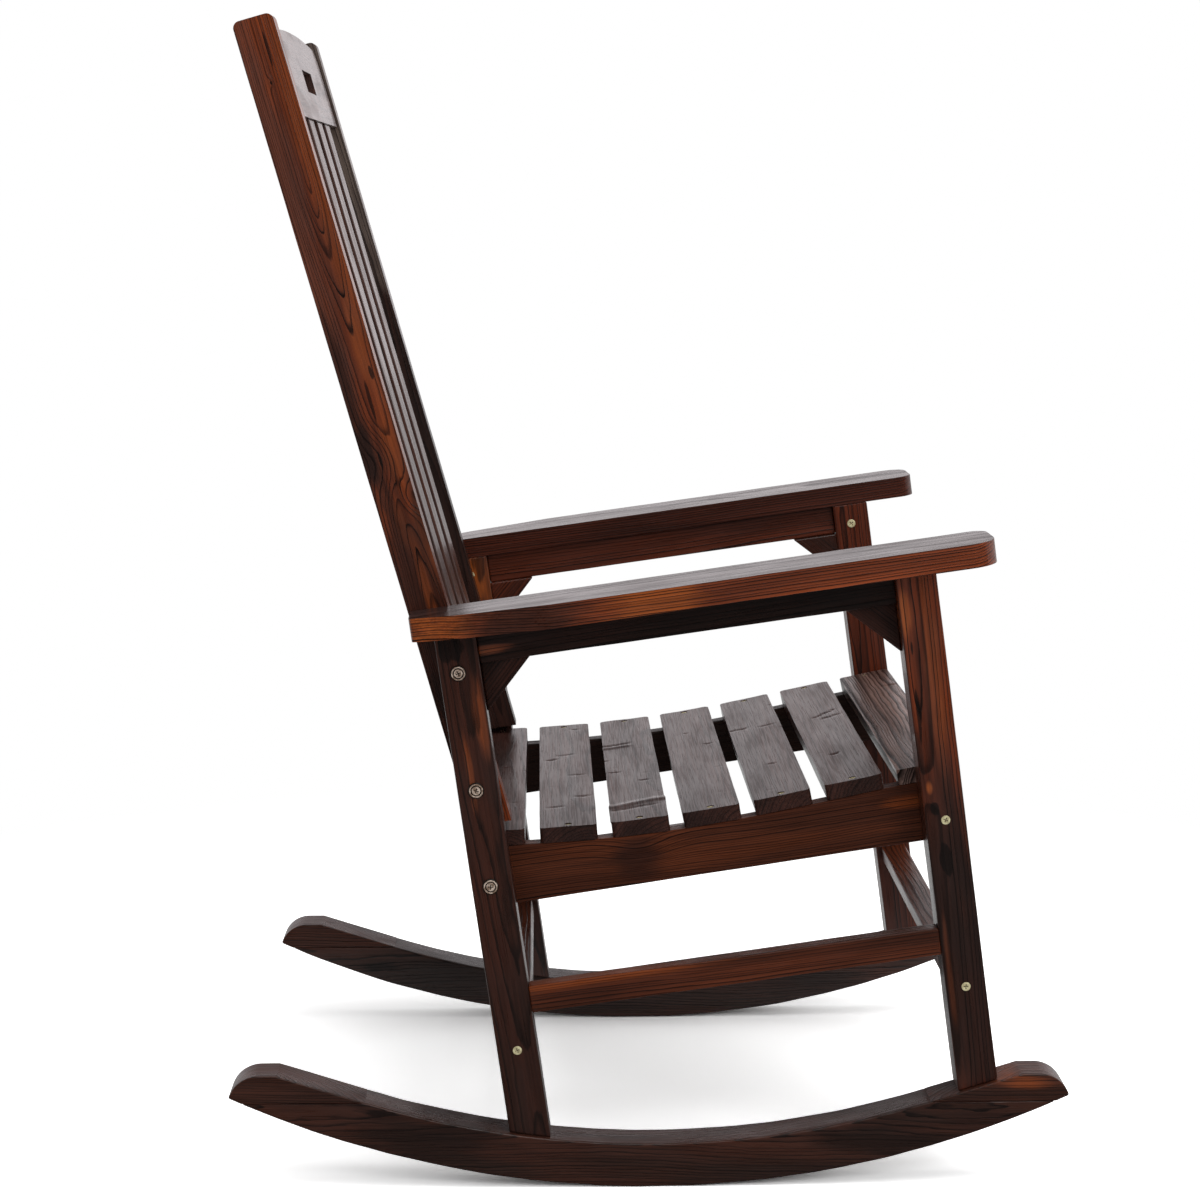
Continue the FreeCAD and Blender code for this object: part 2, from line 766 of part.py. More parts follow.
# Back posts: the foot is cut parallel to the seat, just above the rearmost slat.

between = lean - tilt
post_foot = dish(first_slat)[0] + cell("slat_thickness") + cell("post_gap")


def foot_height(depth):
    """Height along the post at which a line of it meets the sloping foot cut."""
    drop = cell("frame_setback") * sine(tilt) + depth * sine(between)
    return (post_foot + drop) / cosine(between)


post_back = post_front + cell("post_width")
post_top = head_shoulder_top + cell("post_rise")
corner = cell("post_corner_round")
post = board("post_board", "YZ_Plane", cell("post_thickness"), [
    (post_front, foot_height(post_front)),
    (post_back, foot_height(post_back)),
    (post_back, post_top - corner),
    (post_back - corner, post_top, corner, 1),
    (post_front + corner, post_top),
    (post_front, post_top - corner, corner, 1),
])
put(post, post_inner, (ZERO, ZERO), across_x, -lean)
keep_both(cut("post_drilled", post, [bolts_left, back_dowels_left]), "back_post")

# Back slats, tenoned at both ends.

slat_length = cell("head_foot") - back_rail_top
tenon_thickness = cell("back_slat_thickness") - cell("tenon_shoulder") * 2
tenon_width = cell("back_slat_width") - cell("tenon_shoulder") * 2
back_slats = []
for number in range(BACK_SLAT_COUNT):
    name = "back_slat_%d" % (number + 1)
    centre = cell("back_slat_pitch") * (number - (BACK_SLAT_COUNT - 1) / 2)
    depth = post_front + cell("back_slat_inset")
    face = bar(name + "_face", cell("back_slat_width"), cell("back_slat_thickness"), slat_length)
    put(face, centre - cell("back_slat_width") / 2, leaned(depth, back_rail_top),
        across_x, -lean)
    tongue = bar(name + "_tenons", tenon_width, tenon_thickness,
                 slat_length + cell("tenon_length") * 2)
    put(tongue, centre - tenon_width / 2,
        leaned(depth + cell("tenon_shoulder"), back_rail_top - cell("tenon_length")),
        across_x, -lean)
    whole = doc.addObject("Part::Fuse", name + "_whole")
    whole.Base = face
    whole.Tool = tongue
    keep(whole, name)
    back_slats.append(whole)

# Headrest: an arched board with a finger slot, and the lower back rail.

shoulder = cell("head_shoulder_round")
flat_half = post_inner - shoulder
crown = cell("head_crown_height")
crown_radius = (flat_half * flat_half + crown * crown) / (crown * 2)
slot_up = cell("head_foot") + cell("slot_rise")
headrest = board("headrest_board", "XZ_Plane", cell("head_thickness"), [
    (-post_inner, cell("head_foot")),
    (post_inner, cell("head_foot")),
    (post_inner, head_straight_top),
    (flat_half, head_shoulder_top, shoulder, 1),
    (-flat_half, head_shoulder_top, crown_radius, 1),
    (-post_inner, head_straight_top, shoulder, 1),
], rectangle(cell("slot_width"), cell("slot_height"), slot_up))
back_tools = back_slats + [back_dowels_left, back_dowels_right]
head_back = head_front + cell("head_thickness")
put(headrest, ZERO, leaned(head_back, ZERO), across_x, -lean)
keep(cut("headrest_drilled", headrest, back_tools), "headrest")

back_rail = bar("back_rail_bar", post_inner * 2, cell("head_thickness"), cell("back_rail_width"))
put(back_rail, -post_inner, leaned(head_front, back_rail_foot), across_x, -lean)
keep(cut("back_rail_drilled", back_rail, back_tools), "lower_back_rail")

doc.recompute()

faults = []
for thing in doc.Objects:
    if "Invalid" in thing.State or "Error" in thing.State:
        faults.append("%s is %s" % (thing.Name, thing.State))
for piece in parts:
    if piece.Shape.isNull() or not piece.Shape.isValid():
        faults.append("%s has no valid shape" % piece.Label)
if faults:
    raise SystemExit("\n".join(faults))

os.makedirs("parts", exist_ok=True)
for piece in parts:
    piece.Shape.exportStep("parts/%s.step" % piece.Label)
print("%d sub-parts written" % len(parts))
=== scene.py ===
# %% [markdown]
# # An outdoor rocking chair in glossy heat-darkened softwood
# The real chair is screwed together from planed softwood boards. The wood was scorched
# brown, brushed, and given a clear gloss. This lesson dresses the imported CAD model: every
# board is made again with eased edges and a real wood finish, and the screws get their
# cross recesses.

# %% Load the frame
import functools
import math

import bmesh
import bpy
from mathutils import Matrix, Vector, noise


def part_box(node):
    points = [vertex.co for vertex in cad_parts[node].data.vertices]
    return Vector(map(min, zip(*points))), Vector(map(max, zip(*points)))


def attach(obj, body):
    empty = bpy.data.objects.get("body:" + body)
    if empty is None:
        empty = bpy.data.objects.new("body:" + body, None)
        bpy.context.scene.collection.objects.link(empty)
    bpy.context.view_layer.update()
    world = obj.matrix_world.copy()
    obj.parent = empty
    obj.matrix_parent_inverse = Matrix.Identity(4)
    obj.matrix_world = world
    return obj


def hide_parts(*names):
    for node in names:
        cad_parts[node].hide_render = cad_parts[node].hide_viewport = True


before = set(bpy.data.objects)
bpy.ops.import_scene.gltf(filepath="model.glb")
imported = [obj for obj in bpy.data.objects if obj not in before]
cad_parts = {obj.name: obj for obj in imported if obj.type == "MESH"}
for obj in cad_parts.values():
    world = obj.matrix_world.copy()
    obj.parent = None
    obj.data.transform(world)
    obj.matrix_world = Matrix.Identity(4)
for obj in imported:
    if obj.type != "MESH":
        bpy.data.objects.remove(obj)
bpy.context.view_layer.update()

# %% [markdown]
# ## Directions
# The side frames lean back by 8 degrees and the back by 15.8 degrees, so most boards are
# square to one of these two leaning frames and not to the floor. Naming the directions
# once keeps every later cell short.

# %% Directions of the two leaning frames
FRAME_TILT = math.radians(8)
BACK_TILT = math.radians(15.8)
ACROSS = Vector((1, 0, 0))
LENGTHWAYS = Vector((0, 1, 0))
UPRIGHT = Vector((0, 0, 1))
ALONG = Vector((0, -math.cos(FRAME_TILT), math.sin(FRAME_TILT)))
UP = Vector((0, math.sin(FRAME_TILT), math.cos(FRAME_TILT)))
BACK_UP = Vector((0, math.sin(BACK_TILT), math.cos(BACK_TILT)))
BACK_DEPTH = Vector((0, math.cos(BACK_TILT), -math.sin(BACK_TILT)))
SETBACK = 0.01545
ROCKING_LINE = -0.00365
print("seat rises forward by", round(math.degrees(FRAME_TILT), 1), "degrees")


def tilted(along, up, x=0.0):
    """A place in the side frames' tilted frame, in metres."""
    return Vector((x, SETBACK, 0)) + ALONG * along + UP * up


def leaned(depth, height, x=0.0):
    """A place in the back's leaning frame, in metres."""
    return Vector((x, ROCKING_LINE, 0)) + BACK_DEPTH * depth + BACK_UP * height


def level(y, z, x):
    """A place measured from the floor under the middle, in metres."""
    return Vector((x, y, z))


def new_object(name, data):
    thing = bpy.data.objects.new(name, data)
    bpy.context.scene.collection.objects.link(thing)
    return thing


# %% [markdown]
# ## Camera
# The photograph looks at the sitter's right side from a little above the armrests. A camera
# in Blender looks along its own -Z, so turning it up from the floor by 90 degrees and round
# by -90 degrees makes it look along +X; the small yaw and pitch come on top.

# %% Camera at the photograph's angle
SENSOR_WIDTH = 36.0
FOCAL_PIXELS = 2534.448
PICTURE_WIDTH = 1200
CAMERA_PLACE = (-2.682228, 0.105049, 0.972452)
CAMERA_YAW = 0.0230087
CAMERA_PITCH = 0.1576395
camera_data = bpy.data.cameras.new("camera")
camera_data.sensor_width = SENSOR_WIDTH
camera_data.lens = SENSOR_WIDTH * FOCAL_PIXELS / PICTURE_WIDTH
camera = new_object("camera", camera_data)
camera.location = CAMERA_PLACE
camera.rotation_euler = (math.pi / 2 - CAMERA_PITCH, 0, -math.pi / 2 - CAMERA_YAW)
bpy.context.scene.camera = camera
print("lens", round(camera_data.lens, 2), "mm")

# %% [markdown]
# ## Wiring nodes
# Materials, the world and the Geometry Nodes trees are all node trees. A small helper that
# adds a node, sets it and wires it in one line keeps the recipes readable.

# %% A helper that adds and wires nodes


class Wiring:
    """Adds nodes to one tree. An input may be a plain value, another node's socket, or a
    node, which stands for its first output."""

    def __init__(self, tree):
        self.tree = tree

    def feed(self, socket, value):
        if isinstance(value, bpy.types.Node):
            value = value.outputs[0]
        if isinstance(value, bpy.types.NodeSocket):
            self.tree.links.new(value, socket)
        else:
            socket.default_value = value

    def add(self, kind, settings=None, **inputs):
        """One node. A kind that doesn't say Node itself is a shader node."""
        node = self.tree.nodes.new(kind if "Node" in kind else "ShaderNode" + kind)
        for key, value in (settings or {}).items():
            setattr(node, key, value)
        for key, value in inputs.items():
            self.feed(node.inputs[key.replace("_", " ")], value)
        return node

    def group(self, tree, **inputs):
        return self.add("Group", {"node_tree": tree}, **inputs).outputs

    def own_place(self):
        """Object coordinates: the place in the object's own axes."""
        return self.add("TexCoord").outputs["Object"]

    def surface(self, shader, kind="OutputMaterial"):
        self.feed(self.add(kind).inputs["Surface"], shader)

    def split(self, vector):
        return self.add("SeparateXYZ", Vector=vector).outputs

    def joined(self, **parts):
        return self.add("CombineXYZ", **parts)

    def attribute(self, name, output="Fac"):
        """What each point of a mesh carries under a name, for a shader."""
        return self.add("Attribute", {"attribute_name": name}).outputs[output]

    def stored(self, name, kind="FLOAT"):
        """The same for a Geometry Nodes tree."""
        return self.add("GeometryNodeInputNamedAttribute", {"data_type": kind}, Name=name)

    def store(self, geometry, name, value, kind="FLOAT"):
        """Writes a value on each point of a geometry."""
        return self.add("GeometryNodeStoreNamedAttribute", {"data_type": kind},
                        Geometry=geometry, Name=name, Value=value)

    def finished(self, geometry, given, result):
        """Ends a Geometry Nodes tree with real geometry in the material that it was given."""
        whole = self.add("GeometryNodeRealizeInstances", Geometry=geometry)
        self.feed(result["Geometry"], self.add("GeometryNodeSetMaterial", Geometry=whole,
                                               Material=given["Material"]))

    def maths(self, operation, *values, kind="Math", output=0):
        """One step of maths on numbers."""
        node = self.add(kind, {"operation": operation})
        for socket, value in zip(node.inputs, values):
            self.feed(socket, value)
        return node.outputs[output]

    def vector(self, operation, *values):
        """One step of maths on vectors."""
        return self.maths(operation, *values, kind="VectorMath",
                          output="Value" if operation == "LENGTH" else "Vector")

    def scaled(self, value, factor):
        return self.add("VectorMath", {"operation": "SCALE"}, Vector=value,
                        Scale=factor).outputs["Vector"]

    def chained(self, operation, total, *values):
        for value in values:
            total = self.maths(operation, total, value)
        return total

    plus = functools.partialmethod(chained, "ADD")
    times = functools.partialmethod(chained, "MULTIPLY")
    largest = functools.partialmethod(chained, "MAXIMUM")
    minus = functools.partialmethod(maths, "SUBTRACT")
    over = functools.partialmethod(maths, "DIVIDE")

    def opposite(self, share):
        """What is left to 1."""
        return self.minus(1, share)

    def weighed(self, *pairs):
        """The sum of some values, each times its weight."""
        return self.plus(*[self.times(value, weight) for value, weight in pairs])

    def noise(self, place, stretch, detail=1.0, roughness=0.5):
        """Noise about 0.5; stretch is how many waves a metre holds along x, y and z."""
        return self.add("TexNoise", Vector=self.vector("MULTIPLY", place, stretch),
                        Scale=1.0, Detail=detail, Roughness=roughness)

    def smooth(self, value, low, high):
        """0 below low, 1 above high, and an eased ramp between."""
        node = self.add("MapRange", {"interpolation_type": "SMOOTHSTEP"})
        for socket, number in zip(node.inputs, (value, low, high, 0, 1)):
            self.feed(socket, number)
        return node

    def mix(self, share, first, second):
        node = self.add("Mix", {"data_type": "RGBA"})
        for key, value in ((0, share), (6, first), (7, second)):
            self.feed(node.inputs[key], value)
        return node.outputs[2]


def colour(red, green, blue):
    """A display colour of 0 to 255 as the linear light that Blender works in."""
    parts = [c / 255 for c in (red, green, blue)]
    linear = [c / 12.92 if c <= 0.04045 else ((c + 0.055) / 1.055) ** 2.4 for c in parts]
    return (*linear, 1)


def new_group(name, kind, inputs, outputs):
    """A node group, its wiring, and its input and output sockets. The sockets are named in
    one text each, as in "Place:Vector Axis_Y". One that names no kind is a plain number."""
    tree = bpy.data.node_groups.new(name, kind)
    for way, titles in (("INPUT", inputs), ("OUTPUT", outputs)):
        for entry in titles.split():
            title, _, socket = entry.partition(":")
            tree.interface.new_socket(title.replace("_", " "), in_out=way,
                                      socket_type="NodeSocket" + (socket or "Float"))
    w = Wiring(tree)
    return tree, w, w.add("NodeGroupInput").outputs, w.add("NodeGroupOutput").inputs


def emptied(owner):
    """Clears the nodes of a material or of the world, and gives their wiring."""
    owner.use_nodes = True
    owner.node_tree.nodes.clear()
    return Wiring(owner.node_tree)


# %% [markdown]
# ## Stage and light
# A plain studio: a pale floor, a white backdrop and two soft lamps. Rays from the camera
# see the backdrop white. Glossy rays see it white near the horizon behind the chair, where
# a backdrop is lit, and dim overhead and on the camera's own side. That is what lets the
# near faces show their brown and the tops carry a pale sheen. Diffuse light stays plain.
# The lamp beside the camera lights the boards but has no mirror image in their gloss.

# %% Backdrop
PLAIN_LIGHT = 0.6
OVERHEAD_DIMMING = 0.7
NEAR_SIDE_DIMMING = 0.97
GLOSS_TINT = (1, 0.945, 0.965, 1)
WHITE = (1, 1, 1, 1)
world = bpy.data.worlds.new("studio")
bpy.context.scene.world = world
w = emptied(world)
direction = w.split(w.add("TexCoord").outputs["Generated"])
path = w.add("LightPath").outputs
near_side = w.smooth(w.times(direction[0], -1), 0, 0.5)
overhead = w.smooth(direction[2], 0.14, 0.42)
in_gloss = w.times(w.opposite(w.times(overhead, OVERHEAD_DIMMING)),
                   w.opposite(w.times(near_side, NEAR_SIDE_DIMMING)))
strength = w.plus(PLAIN_LIGHT, w.times(path["Is Glossy Ray"], w.minus(in_gloss, PLAIN_LIGHT)))
seen = w.largest(path["Is Camera Ray"], path["Is Transmission Ray"])
strength = w.plus(seen, w.times(strength, w.opposite(seen)))
tint = w.mix(path["Is Glossy Ray"], WHITE, GLOSS_TINT)
w.surface(w.add("Background", Color=tint, Strength=strength), "OutputWorld")

# %% Floor
FLOOR_REACH = 30.0
FLOOR_DROP = 0.0002
CORNERS = ((-1, -1), (1, -1), (1, 1), (-1, 1))


def grey(light):
    return light, light, light, 1


floor_mesh = bpy.data.meshes.new("floor")
floor_mesh.from_pydata([(x * FLOOR_REACH, y * FLOOR_REACH, 0) for x, y in CORNERS], [],
                       [(0, 1, 2, 3)])
floor = new_object("floor", floor_mesh)
floor.location.z = -FLOOR_DROP
floor_paint = bpy.data.materials.new("pale_floor")
w = emptied(floor_paint)
path = w.add("LightPath").outputs
spot = w.own_place()
in_gloss = w.mix(w.smooth(w.split(spot)[0], -0.42, 0.25), grey(0.03), grey(0.8))
paint = w.mix(path["Is Glossy Ray"], grey(0.8), in_gloss)
paint = w.mix(path["Is Camera Ray"], paint, grey(1.9))
far_off = w.smooth(w.vector("LENGTH", spot), 0.5, 1.5)
blend = w.add("MixShader", Fac=w.times(far_off, path["Is Camera Ray"]))
w.feed(blend.inputs[1], w.add("BsdfDiffuse", Color=paint))
w.feed(blend.inputs[2], w.add("Emission", Color=WHITE))
w.surface(blend)
floor_mesh.materials.append(floor_paint)

# %% Lamps


def softbox(name, place, aim, size, watts):
    """A square area lamp that points at a place."""
    data = bpy.data.lights.new(name, "AREA")
    data.shape = "SQUARE"
    data.size = size
    data.energy = watts
    lamp = new_object(name, data)
    lamp.location = place
    toward = Vector(aim) - Vector(place)
    lamp.rotation_euler = toward.to_track_quat("-Z", "Y").to_euler()
    return lamp


softbox("lamp_above", (-0.6, -0.8, 3.4), (0, 0, 0.5), 2.6, 58)
side_lamp = softbox("lamp_side", (-3.2, -2.4, 2.6), (0, 0, 0.6), 1.6, 46)
side_lamp.visible_glossy = False
print("lamps", [lamp.name for lamp in bpy.data.lights])

# %% [markdown]
# ## Heat-darkened softwood
# Wood is a stack of growth rings round the pith of the trunk. A board is a slice through
# them, so one recipe in three dimensions gives arches on a broad face, straight lines on an
# edge and arcs on an end. The group measures the distance from the pith, bends it with slow
# noise, and turns it into early wood that darkens to a thin late band; Band says where in a
# ring that begins. Bow curves the pith itself, which makes a row of arches. Scorching
# blackens patches, and brushing leaves fine fibres. Sheen is a mask for the clear coat: it
# is uneven over the fibres, and missing in knots and, as far as Groove says, in late bands.

# %% The wood group, shared by every board
BEND_WAVES, RIPPLE_WAVES = (3.2, 12, 12), (22, 120, 120)
FIBRE_WAVES, STREAK_WAVES = (22, 1000, 1000), (8, 300, 300)
TONE_WAVES, SCORCH_WAVES, DULL_WAVES = (3, 26, 26), (6, 24, 24), (9, 34, 34)
SOOT = (20, 13, 11)
NEAREST_TO_PITH = 0.001
YEARS_DIFFER = 1.3
BANDS_DIFFER = 0.26
BAND_DARKEST, BAND_END = 0.92, 0.94
grain_group, w, given, result = new_group(
    "scorched_grain", "ShaderNodeTree",
    "Place:Vector Bow:Vector Ring Wave Early:Color Tone:Color Late:Color Char Pull Knot "
    "Arris Band Groove", "Color:Color Roughness Height Sheen")
place = given["Place"]
run, across, depth = w.split(place)
middle, curve, _ = w.split(given["Bow"])
run = w.minus(run, middle)
depth = w.largest(w.plus(depth, w.times(curve, w.times(run, run))), NEAREST_TO_PITH)
from_pith = w.vector("LENGTH", w.joined(Y=across, Z=depth))
slow = w.minus(w.noise(place, BEND_WAVES), 0.5)
quick = w.minus(w.noise(place, RIPPLE_WAVES, 2), 0.5)
bend = w.times(given["Wave"], w.plus(slow, w.times(quick, 0.12)))
rings = w.over(w.plus(from_pith, bend, given["Pull"]), given["Ring"])
years = w.add("TexNoise", {"noise_dimensions": "1D"}, Scale=0.45, Detail=0.0, W=rings)
rings = w.plus(rings, w.times(years, YEARS_DIFFER))
share = w.maths("FRACT", rings)
luck = w.add("TexWhiteNoise", {"noise_dimensions": "1D"},
             W=w.maths("FLOOR", rings)).outputs["Value"]
start = w.plus(given["Band"], w.times(luck, BANDS_DIFFER))
late = w.times(w.smooth(share, start, BAND_DARKEST), w.opposite(w.smooth(share, BAND_END, 1)))
other_luck = w.maths("FRACT", w.times(luck, 7.3))
late = w.times(late, w.plus(0.6, w.times(other_luck, 0.4)))
fibre = w.noise(place, FIBRE_WAVES, 2, 0.6)
streak = w.smooth(w.noise(place, STREAK_WAVES, 2), 0.34, 0.66)
tone = w.smooth(w.noise(place, TONE_WAVES, 3), 0.4, 0.62)
wood = w.mix(w.weighed((tone, 0.7), (share, 0.4)), given["Early"], given["Tone"])
wood = w.mix(late, wood, given["Late"])
wood = w.scaled(wood, w.plus(0.5, w.weighed((fibre, 0.7), (streak, 0.3))))
scorch = w.plus(w.noise(place, SCORCH_WAVES, 3, 0.6), w.times(late, 0.06))
limit = w.minus(0.8, w.times(given["Char"], 0.5))
scorch = w.smooth(scorch, limit, w.plus(limit, 0.16))
black = w.largest(w.times(scorch, 0.88), given["Knot"], w.times(given["Arris"], 0.4))
w.feed(result["Color"], w.mix(black, wood, colour(*SOOT)))
dull = w.smooth(w.noise(place, DULL_WAVES, 2), 0.42, 0.68)
w.feed(result["Roughness"], w.plus(0.17, w.weighed((fibre, 0.24), (dull, 0.14))))
closed = w.opposite(w.largest(given["Knot"], w.times(late, given["Groove"])))
sheen = w.plus(0.35, w.times(w.smooth(fibre, 0.35, 0.65), 0.65))
w.feed(result["Sheen"], w.times(closed, sheen))
relief = w.weighed((late, 0.5), (fibre, 0.3), (streak, 0.12))
w.feed(result["Height"], w.minus(relief, w.times(given["Knot"], 0.4)))
print("wood group", len(grain_group.nodes), "nodes")

# %% [markdown]
# ## Knots and patches
# A knot is the root of a branch: the rings swing round it and its core is dark. Where the
# saw just missed one, only the swing shows, as a swirl. A patch is a place that the flame
# missed, which stays amber or rusty, or where it stayed longer, which is brown, smoky or
# black. All are placed on a board one by one, so they are small groups that only give masks.

# %% The knot and patch groups
KNOT_SQUASH = (0.5, 1, 0)
KNOT_PULL = 1.5
PATCH_WAVES = (18, 110, 110)
RAGGEDNESS = 1.1
knot_group, w, given, result = new_group(
    "knot", "ShaderNodeTree", "Place:Vector Centre:Vector Size", "Pull Core")
gap = w.vector("MULTIPLY", w.vector("SUBTRACT", given["Place"], given["Centre"]), KNOT_SQUASH)
gap = w.over(w.vector("LENGTH", gap), given["Size"])
fall = w.maths("POWER", 2.718, w.times(-0.5, w.times(gap, gap)))
w.feed(result["Pull"], w.times(fall, given["Size"], KNOT_PULL))
w.feed(result["Core"], w.opposite(w.smooth(gap, 0.25, 0.75)))

patch_group, w, given, result = new_group(
    "patch", "ShaderNodeTree", "Place:Vector Centre:Vector Reach:Vector", "Mask")
gap = w.vector("DIVIDE", w.vector("SUBTRACT", given["Place"], given["Centre"]), given["Reach"])
ragged = w.minus(w.noise(given["Place"], PATCH_WAVES, 2), 0.5)
gap = w.plus(w.vector("LENGTH", gap), w.times(ragged, RAGGEDNESS))
w.feed(result["Mask"], w.opposite(w.smooth(gap, 0.35, 1.15)))
print("knot and patch groups")

# %% [markdown]
# ## Finishes
# All boards had the same treatment, but each took it differently: the posts and the front
# legs stayed orange-brown, the rockers and the rear legs went nearly black, and the
# armrests show fine reddish lines. A finish is a set of colours and ring sizes. Gloss is
# the shine of the wood itself, coat the share of clear coat over it, and satin the coat's
# own roughness. A board adds its own place, so that no two boards show the same grain.

# %% Colours and ring sizes of the finishes


def recipe(early, tone, late, ring, wave, char, **rest):
    """The colours of early wood, of its darker tone and of late wood, the ring width and
    how far the rings wander in metres, and how much is scorched."""
    return dict(early=early, tone=tone, late=late, ring=ring, wave=wave, char=char, **rest)


FINISHES = {
    "post": recipe((160, 70, 22), (98, 40, 16), (24, 8, 5), 0.0023, 0.012, 0.2),
    "front_leg": recipe((144, 60, 18), (84, 34, 13), (20, 8, 5), 0.0036, 0.012, 0.24),
    "rear_leg": recipe((78, 38, 25), (56, 31, 23), (36, 20, 15), 0.004, 0.02, 0.26),
    "rocker": recipe((82, 45, 33), (52, 34, 28), (27, 17, 15), 0.003, 0.03, 0.34, gloss=0.35),
    "block": recipe((90, 48, 33), (56, 34, 27), (32, 19, 15), 0.003, 0.02, 0.3, gloss=0.3,
                    coat=0.1),
    "rail": recipe((108, 54, 30), (78, 40, 26), (28, 14, 10), 0.0022, 0.016, 0.2, gloss=0.1,
                   coat=0.0),
    "stretcher": recipe((110, 52, 27), (66, 33, 21), (26, 13, 9), 0.0026, 0.016, 0.16,
                        gloss=0.1, coat=0.8, satin=0.25),
    "arm_rail": recipe((58, 30, 22), (38, 24, 20), (21, 13, 11), 0.003, 0.012, 0.3,
                       gloss=0.4),
    # The armrest's top colour is a painted sheen: its upward faces are greyed to the look of
    # their pale reflection.
    "armrest": recipe((164, 76, 36), (116, 52, 26), (16, 7, 4), 0.0026, 0.01, 0.1, band=0.34,
                      gloss=0.2, coat=1.0, satin=0.22, top=(70, 50, 47)),
    "far_armrest": recipe((96, 42, 25), (60, 28, 19), (28, 14, 10), 0.0025, 0.012, 0.22),
    "brace": recipe((74, 38, 27), (44, 24, 19), (24, 14, 11), 0.003, 0.012, 0.3, gloss=0.4),
    "seat": recipe((78, 46, 38), (54, 35, 31), (34, 22, 20), 0.0036, 0.022, 0.16, gloss=0.05,
                   coat=1.0, satin=0.3),
    "back": recipe((100, 64, 52), (74, 48, 41), (42, 27, 22), 0.0034, 0.03, 0.14),
}
STAINS = {"amber": (192, 96, 30), "brown": (60, 34, 27), "dusk": (116, 66, 50),
          "grey": (120, 104, 94), "smoke": (42, 28, 24), "rust": (152, 72, 26)}
SWIRL_PULL = 0.55
CHAR_MARK = 0.75
STAIN_EARLY, STAIN_TONE = 0.85, 0.65
AMBER_CLEARS = 0.5
PATCH_DEPTH = 5.0
COAT_IOR = 1.45


def wood_material(name, finish, feed, to_board=None, marks=(), **changes):
    """A lacquered wood. feed(w) gives the socket with the place in the board, and a mark is
    a kind, its place on the chair, and its size, or its reach along and across the grain."""
    material = bpy.data.materials.new(name)
    w = emptied(material)
    spec = dict(FINISHES[finish], **changes)

    def value(key, usual=None):
        """A spec entry: a function of w gives a socket, three numbers a colour."""
        entry = spec.get(key, usual)
        if callable(entry):
            return entry(w)
        return colour(*entry) if isinstance(entry, tuple) else entry

    place = feed(w)
    early, tone = value("early"), value("tone")
    char, pull, core = spec["char"], 0, 0
    for kind, spot, size in marks:
        where = {"Place": place, "Centre": to_board(spot)}
        if kind in ("knot", "swirl"):
            knot = w.group(knot_group, Size=size, **where)
            pull = w.plus(pull, w.times(knot["Pull"], 1.0 if kind == "knot" else SWIRL_PULL))
            if kind == "knot":
                core = w.largest(core, knot["Core"])
            continue
        mask = w.group(patch_group, Reach=(*size, PATCH_DEPTH), **where)[0]
        if kind == "char":
            char = w.plus(char, w.times(mask, CHAR_MARK))
            continue
        early = w.mix(w.times(mask, STAIN_EARLY), early, colour(*STAINS[kind]))
        tone = w.mix(w.times(mask, STAIN_TONE), tone, colour(*STAINS[kind]))
        if kind == "amber":
            char = w.minus(char, w.times(mask, AMBER_CLEARS))
    # Painted sheen: faces that look up take the top colours, greyed to the look of their pale
    # reflection.
    if "top" in spec:
        painted_sheen_on_top = w.add("NewGeometry").outputs["Normal"]
        painted_sheen_on_top = w.smooth(w.split(painted_sheen_on_top)[2], 0.7, 0.95)
        early = w.mix(painted_sheen_on_top, early, value("top"))
        tone = w.mix(painted_sheen_on_top, tone, value("top"))
    bow = (0, 0, 0)
    if "bow" in spec:
        middle, curve = spec["bow"]
        bow = (to_board(middle).x, curve, 0)
    grain = w.group(grain_group, Place=place, Bow=bow, Ring=spec["ring"], Wave=spec["wave"],
                    Char=char, Early=early, Tone=tone, Late=value("late"), Pull=pull,
                    Knot=core, Arris=w.attribute("arris"), Band=value("band", 0.48),
                    Groove=value("groove", 0.6))
    coat = spec.get("coat", 0.3)
    bump = w.add("Bump", Height=grain["Height"], Strength=0.8, Distance=value("relief", 0.0006))
    w.surface(w.add("BsdfPrincipled", Base_Color=grain["Color"],
                    Roughness=grain["Roughness"], Specular_IOR_Level=spec.get("gloss", 0.5),
                    Coat_Weight=w.times(grain["Sheen"], coat) if coat else 0,
                    Coat_Roughness=spec.get("satin", 0.08), Coat_IOR=COAT_IOR, Normal=bump))
    return material


BOARD_APART = 3.1


def board_place(centre, grain, face, pith, seed, lean=(0, 0)):
    """Feeds a wood material with Object coordinates turned and centred on one board. The
    seed moves each board to another stretch of the trunk."""
    grain = (grain + face * lean[0] + face.cross(grain) * lean[1]).normalized()
    side = face.cross(grain).normalized()
    face = grain.cross(side)
    turn = Matrix((grain, side, face)).transposed()
    spot = centre + turn @ Vector((-BOARD_APART * seed, *pith))

    def feed(w):
        return w.add("Mapping", {"vector_type": "TEXTURE"},
                     Vector=w.own_place(), Location=spot, Rotation=turn.to_euler())
    return feed, lambda point: turn.transposed() @ (point - spot)


print(len(FINISHES), "finishes")

# %% [markdown]
# ## Boards
# Each board is cut out again from the outline of its CAD node: the flat face that looks
# along the board's thickness gives the outline, which becomes a prism with rounded edges.
# Planes sliced through it make an even net of faces, and a little slow noise gives the
# surface the slight waviness of planed and brushed wood.

# %% Cutting a board from a CAD outline
WELD = 1e-5
SMALLEST_LOOP = 0.018
STRAIGHT = math.radians(0.3)
SHARP_EDGE, SHARP_SHADING = math.radians(24), math.radians(38)


def cad_net(node):
    """A CAD node's mesh, ready to be measured."""
    net = bmesh.new()
    net.from_mesh(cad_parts[node].data)
    bmesh.ops.remove_doubles(net, verts=net.verts, dist=WELD)
    return net


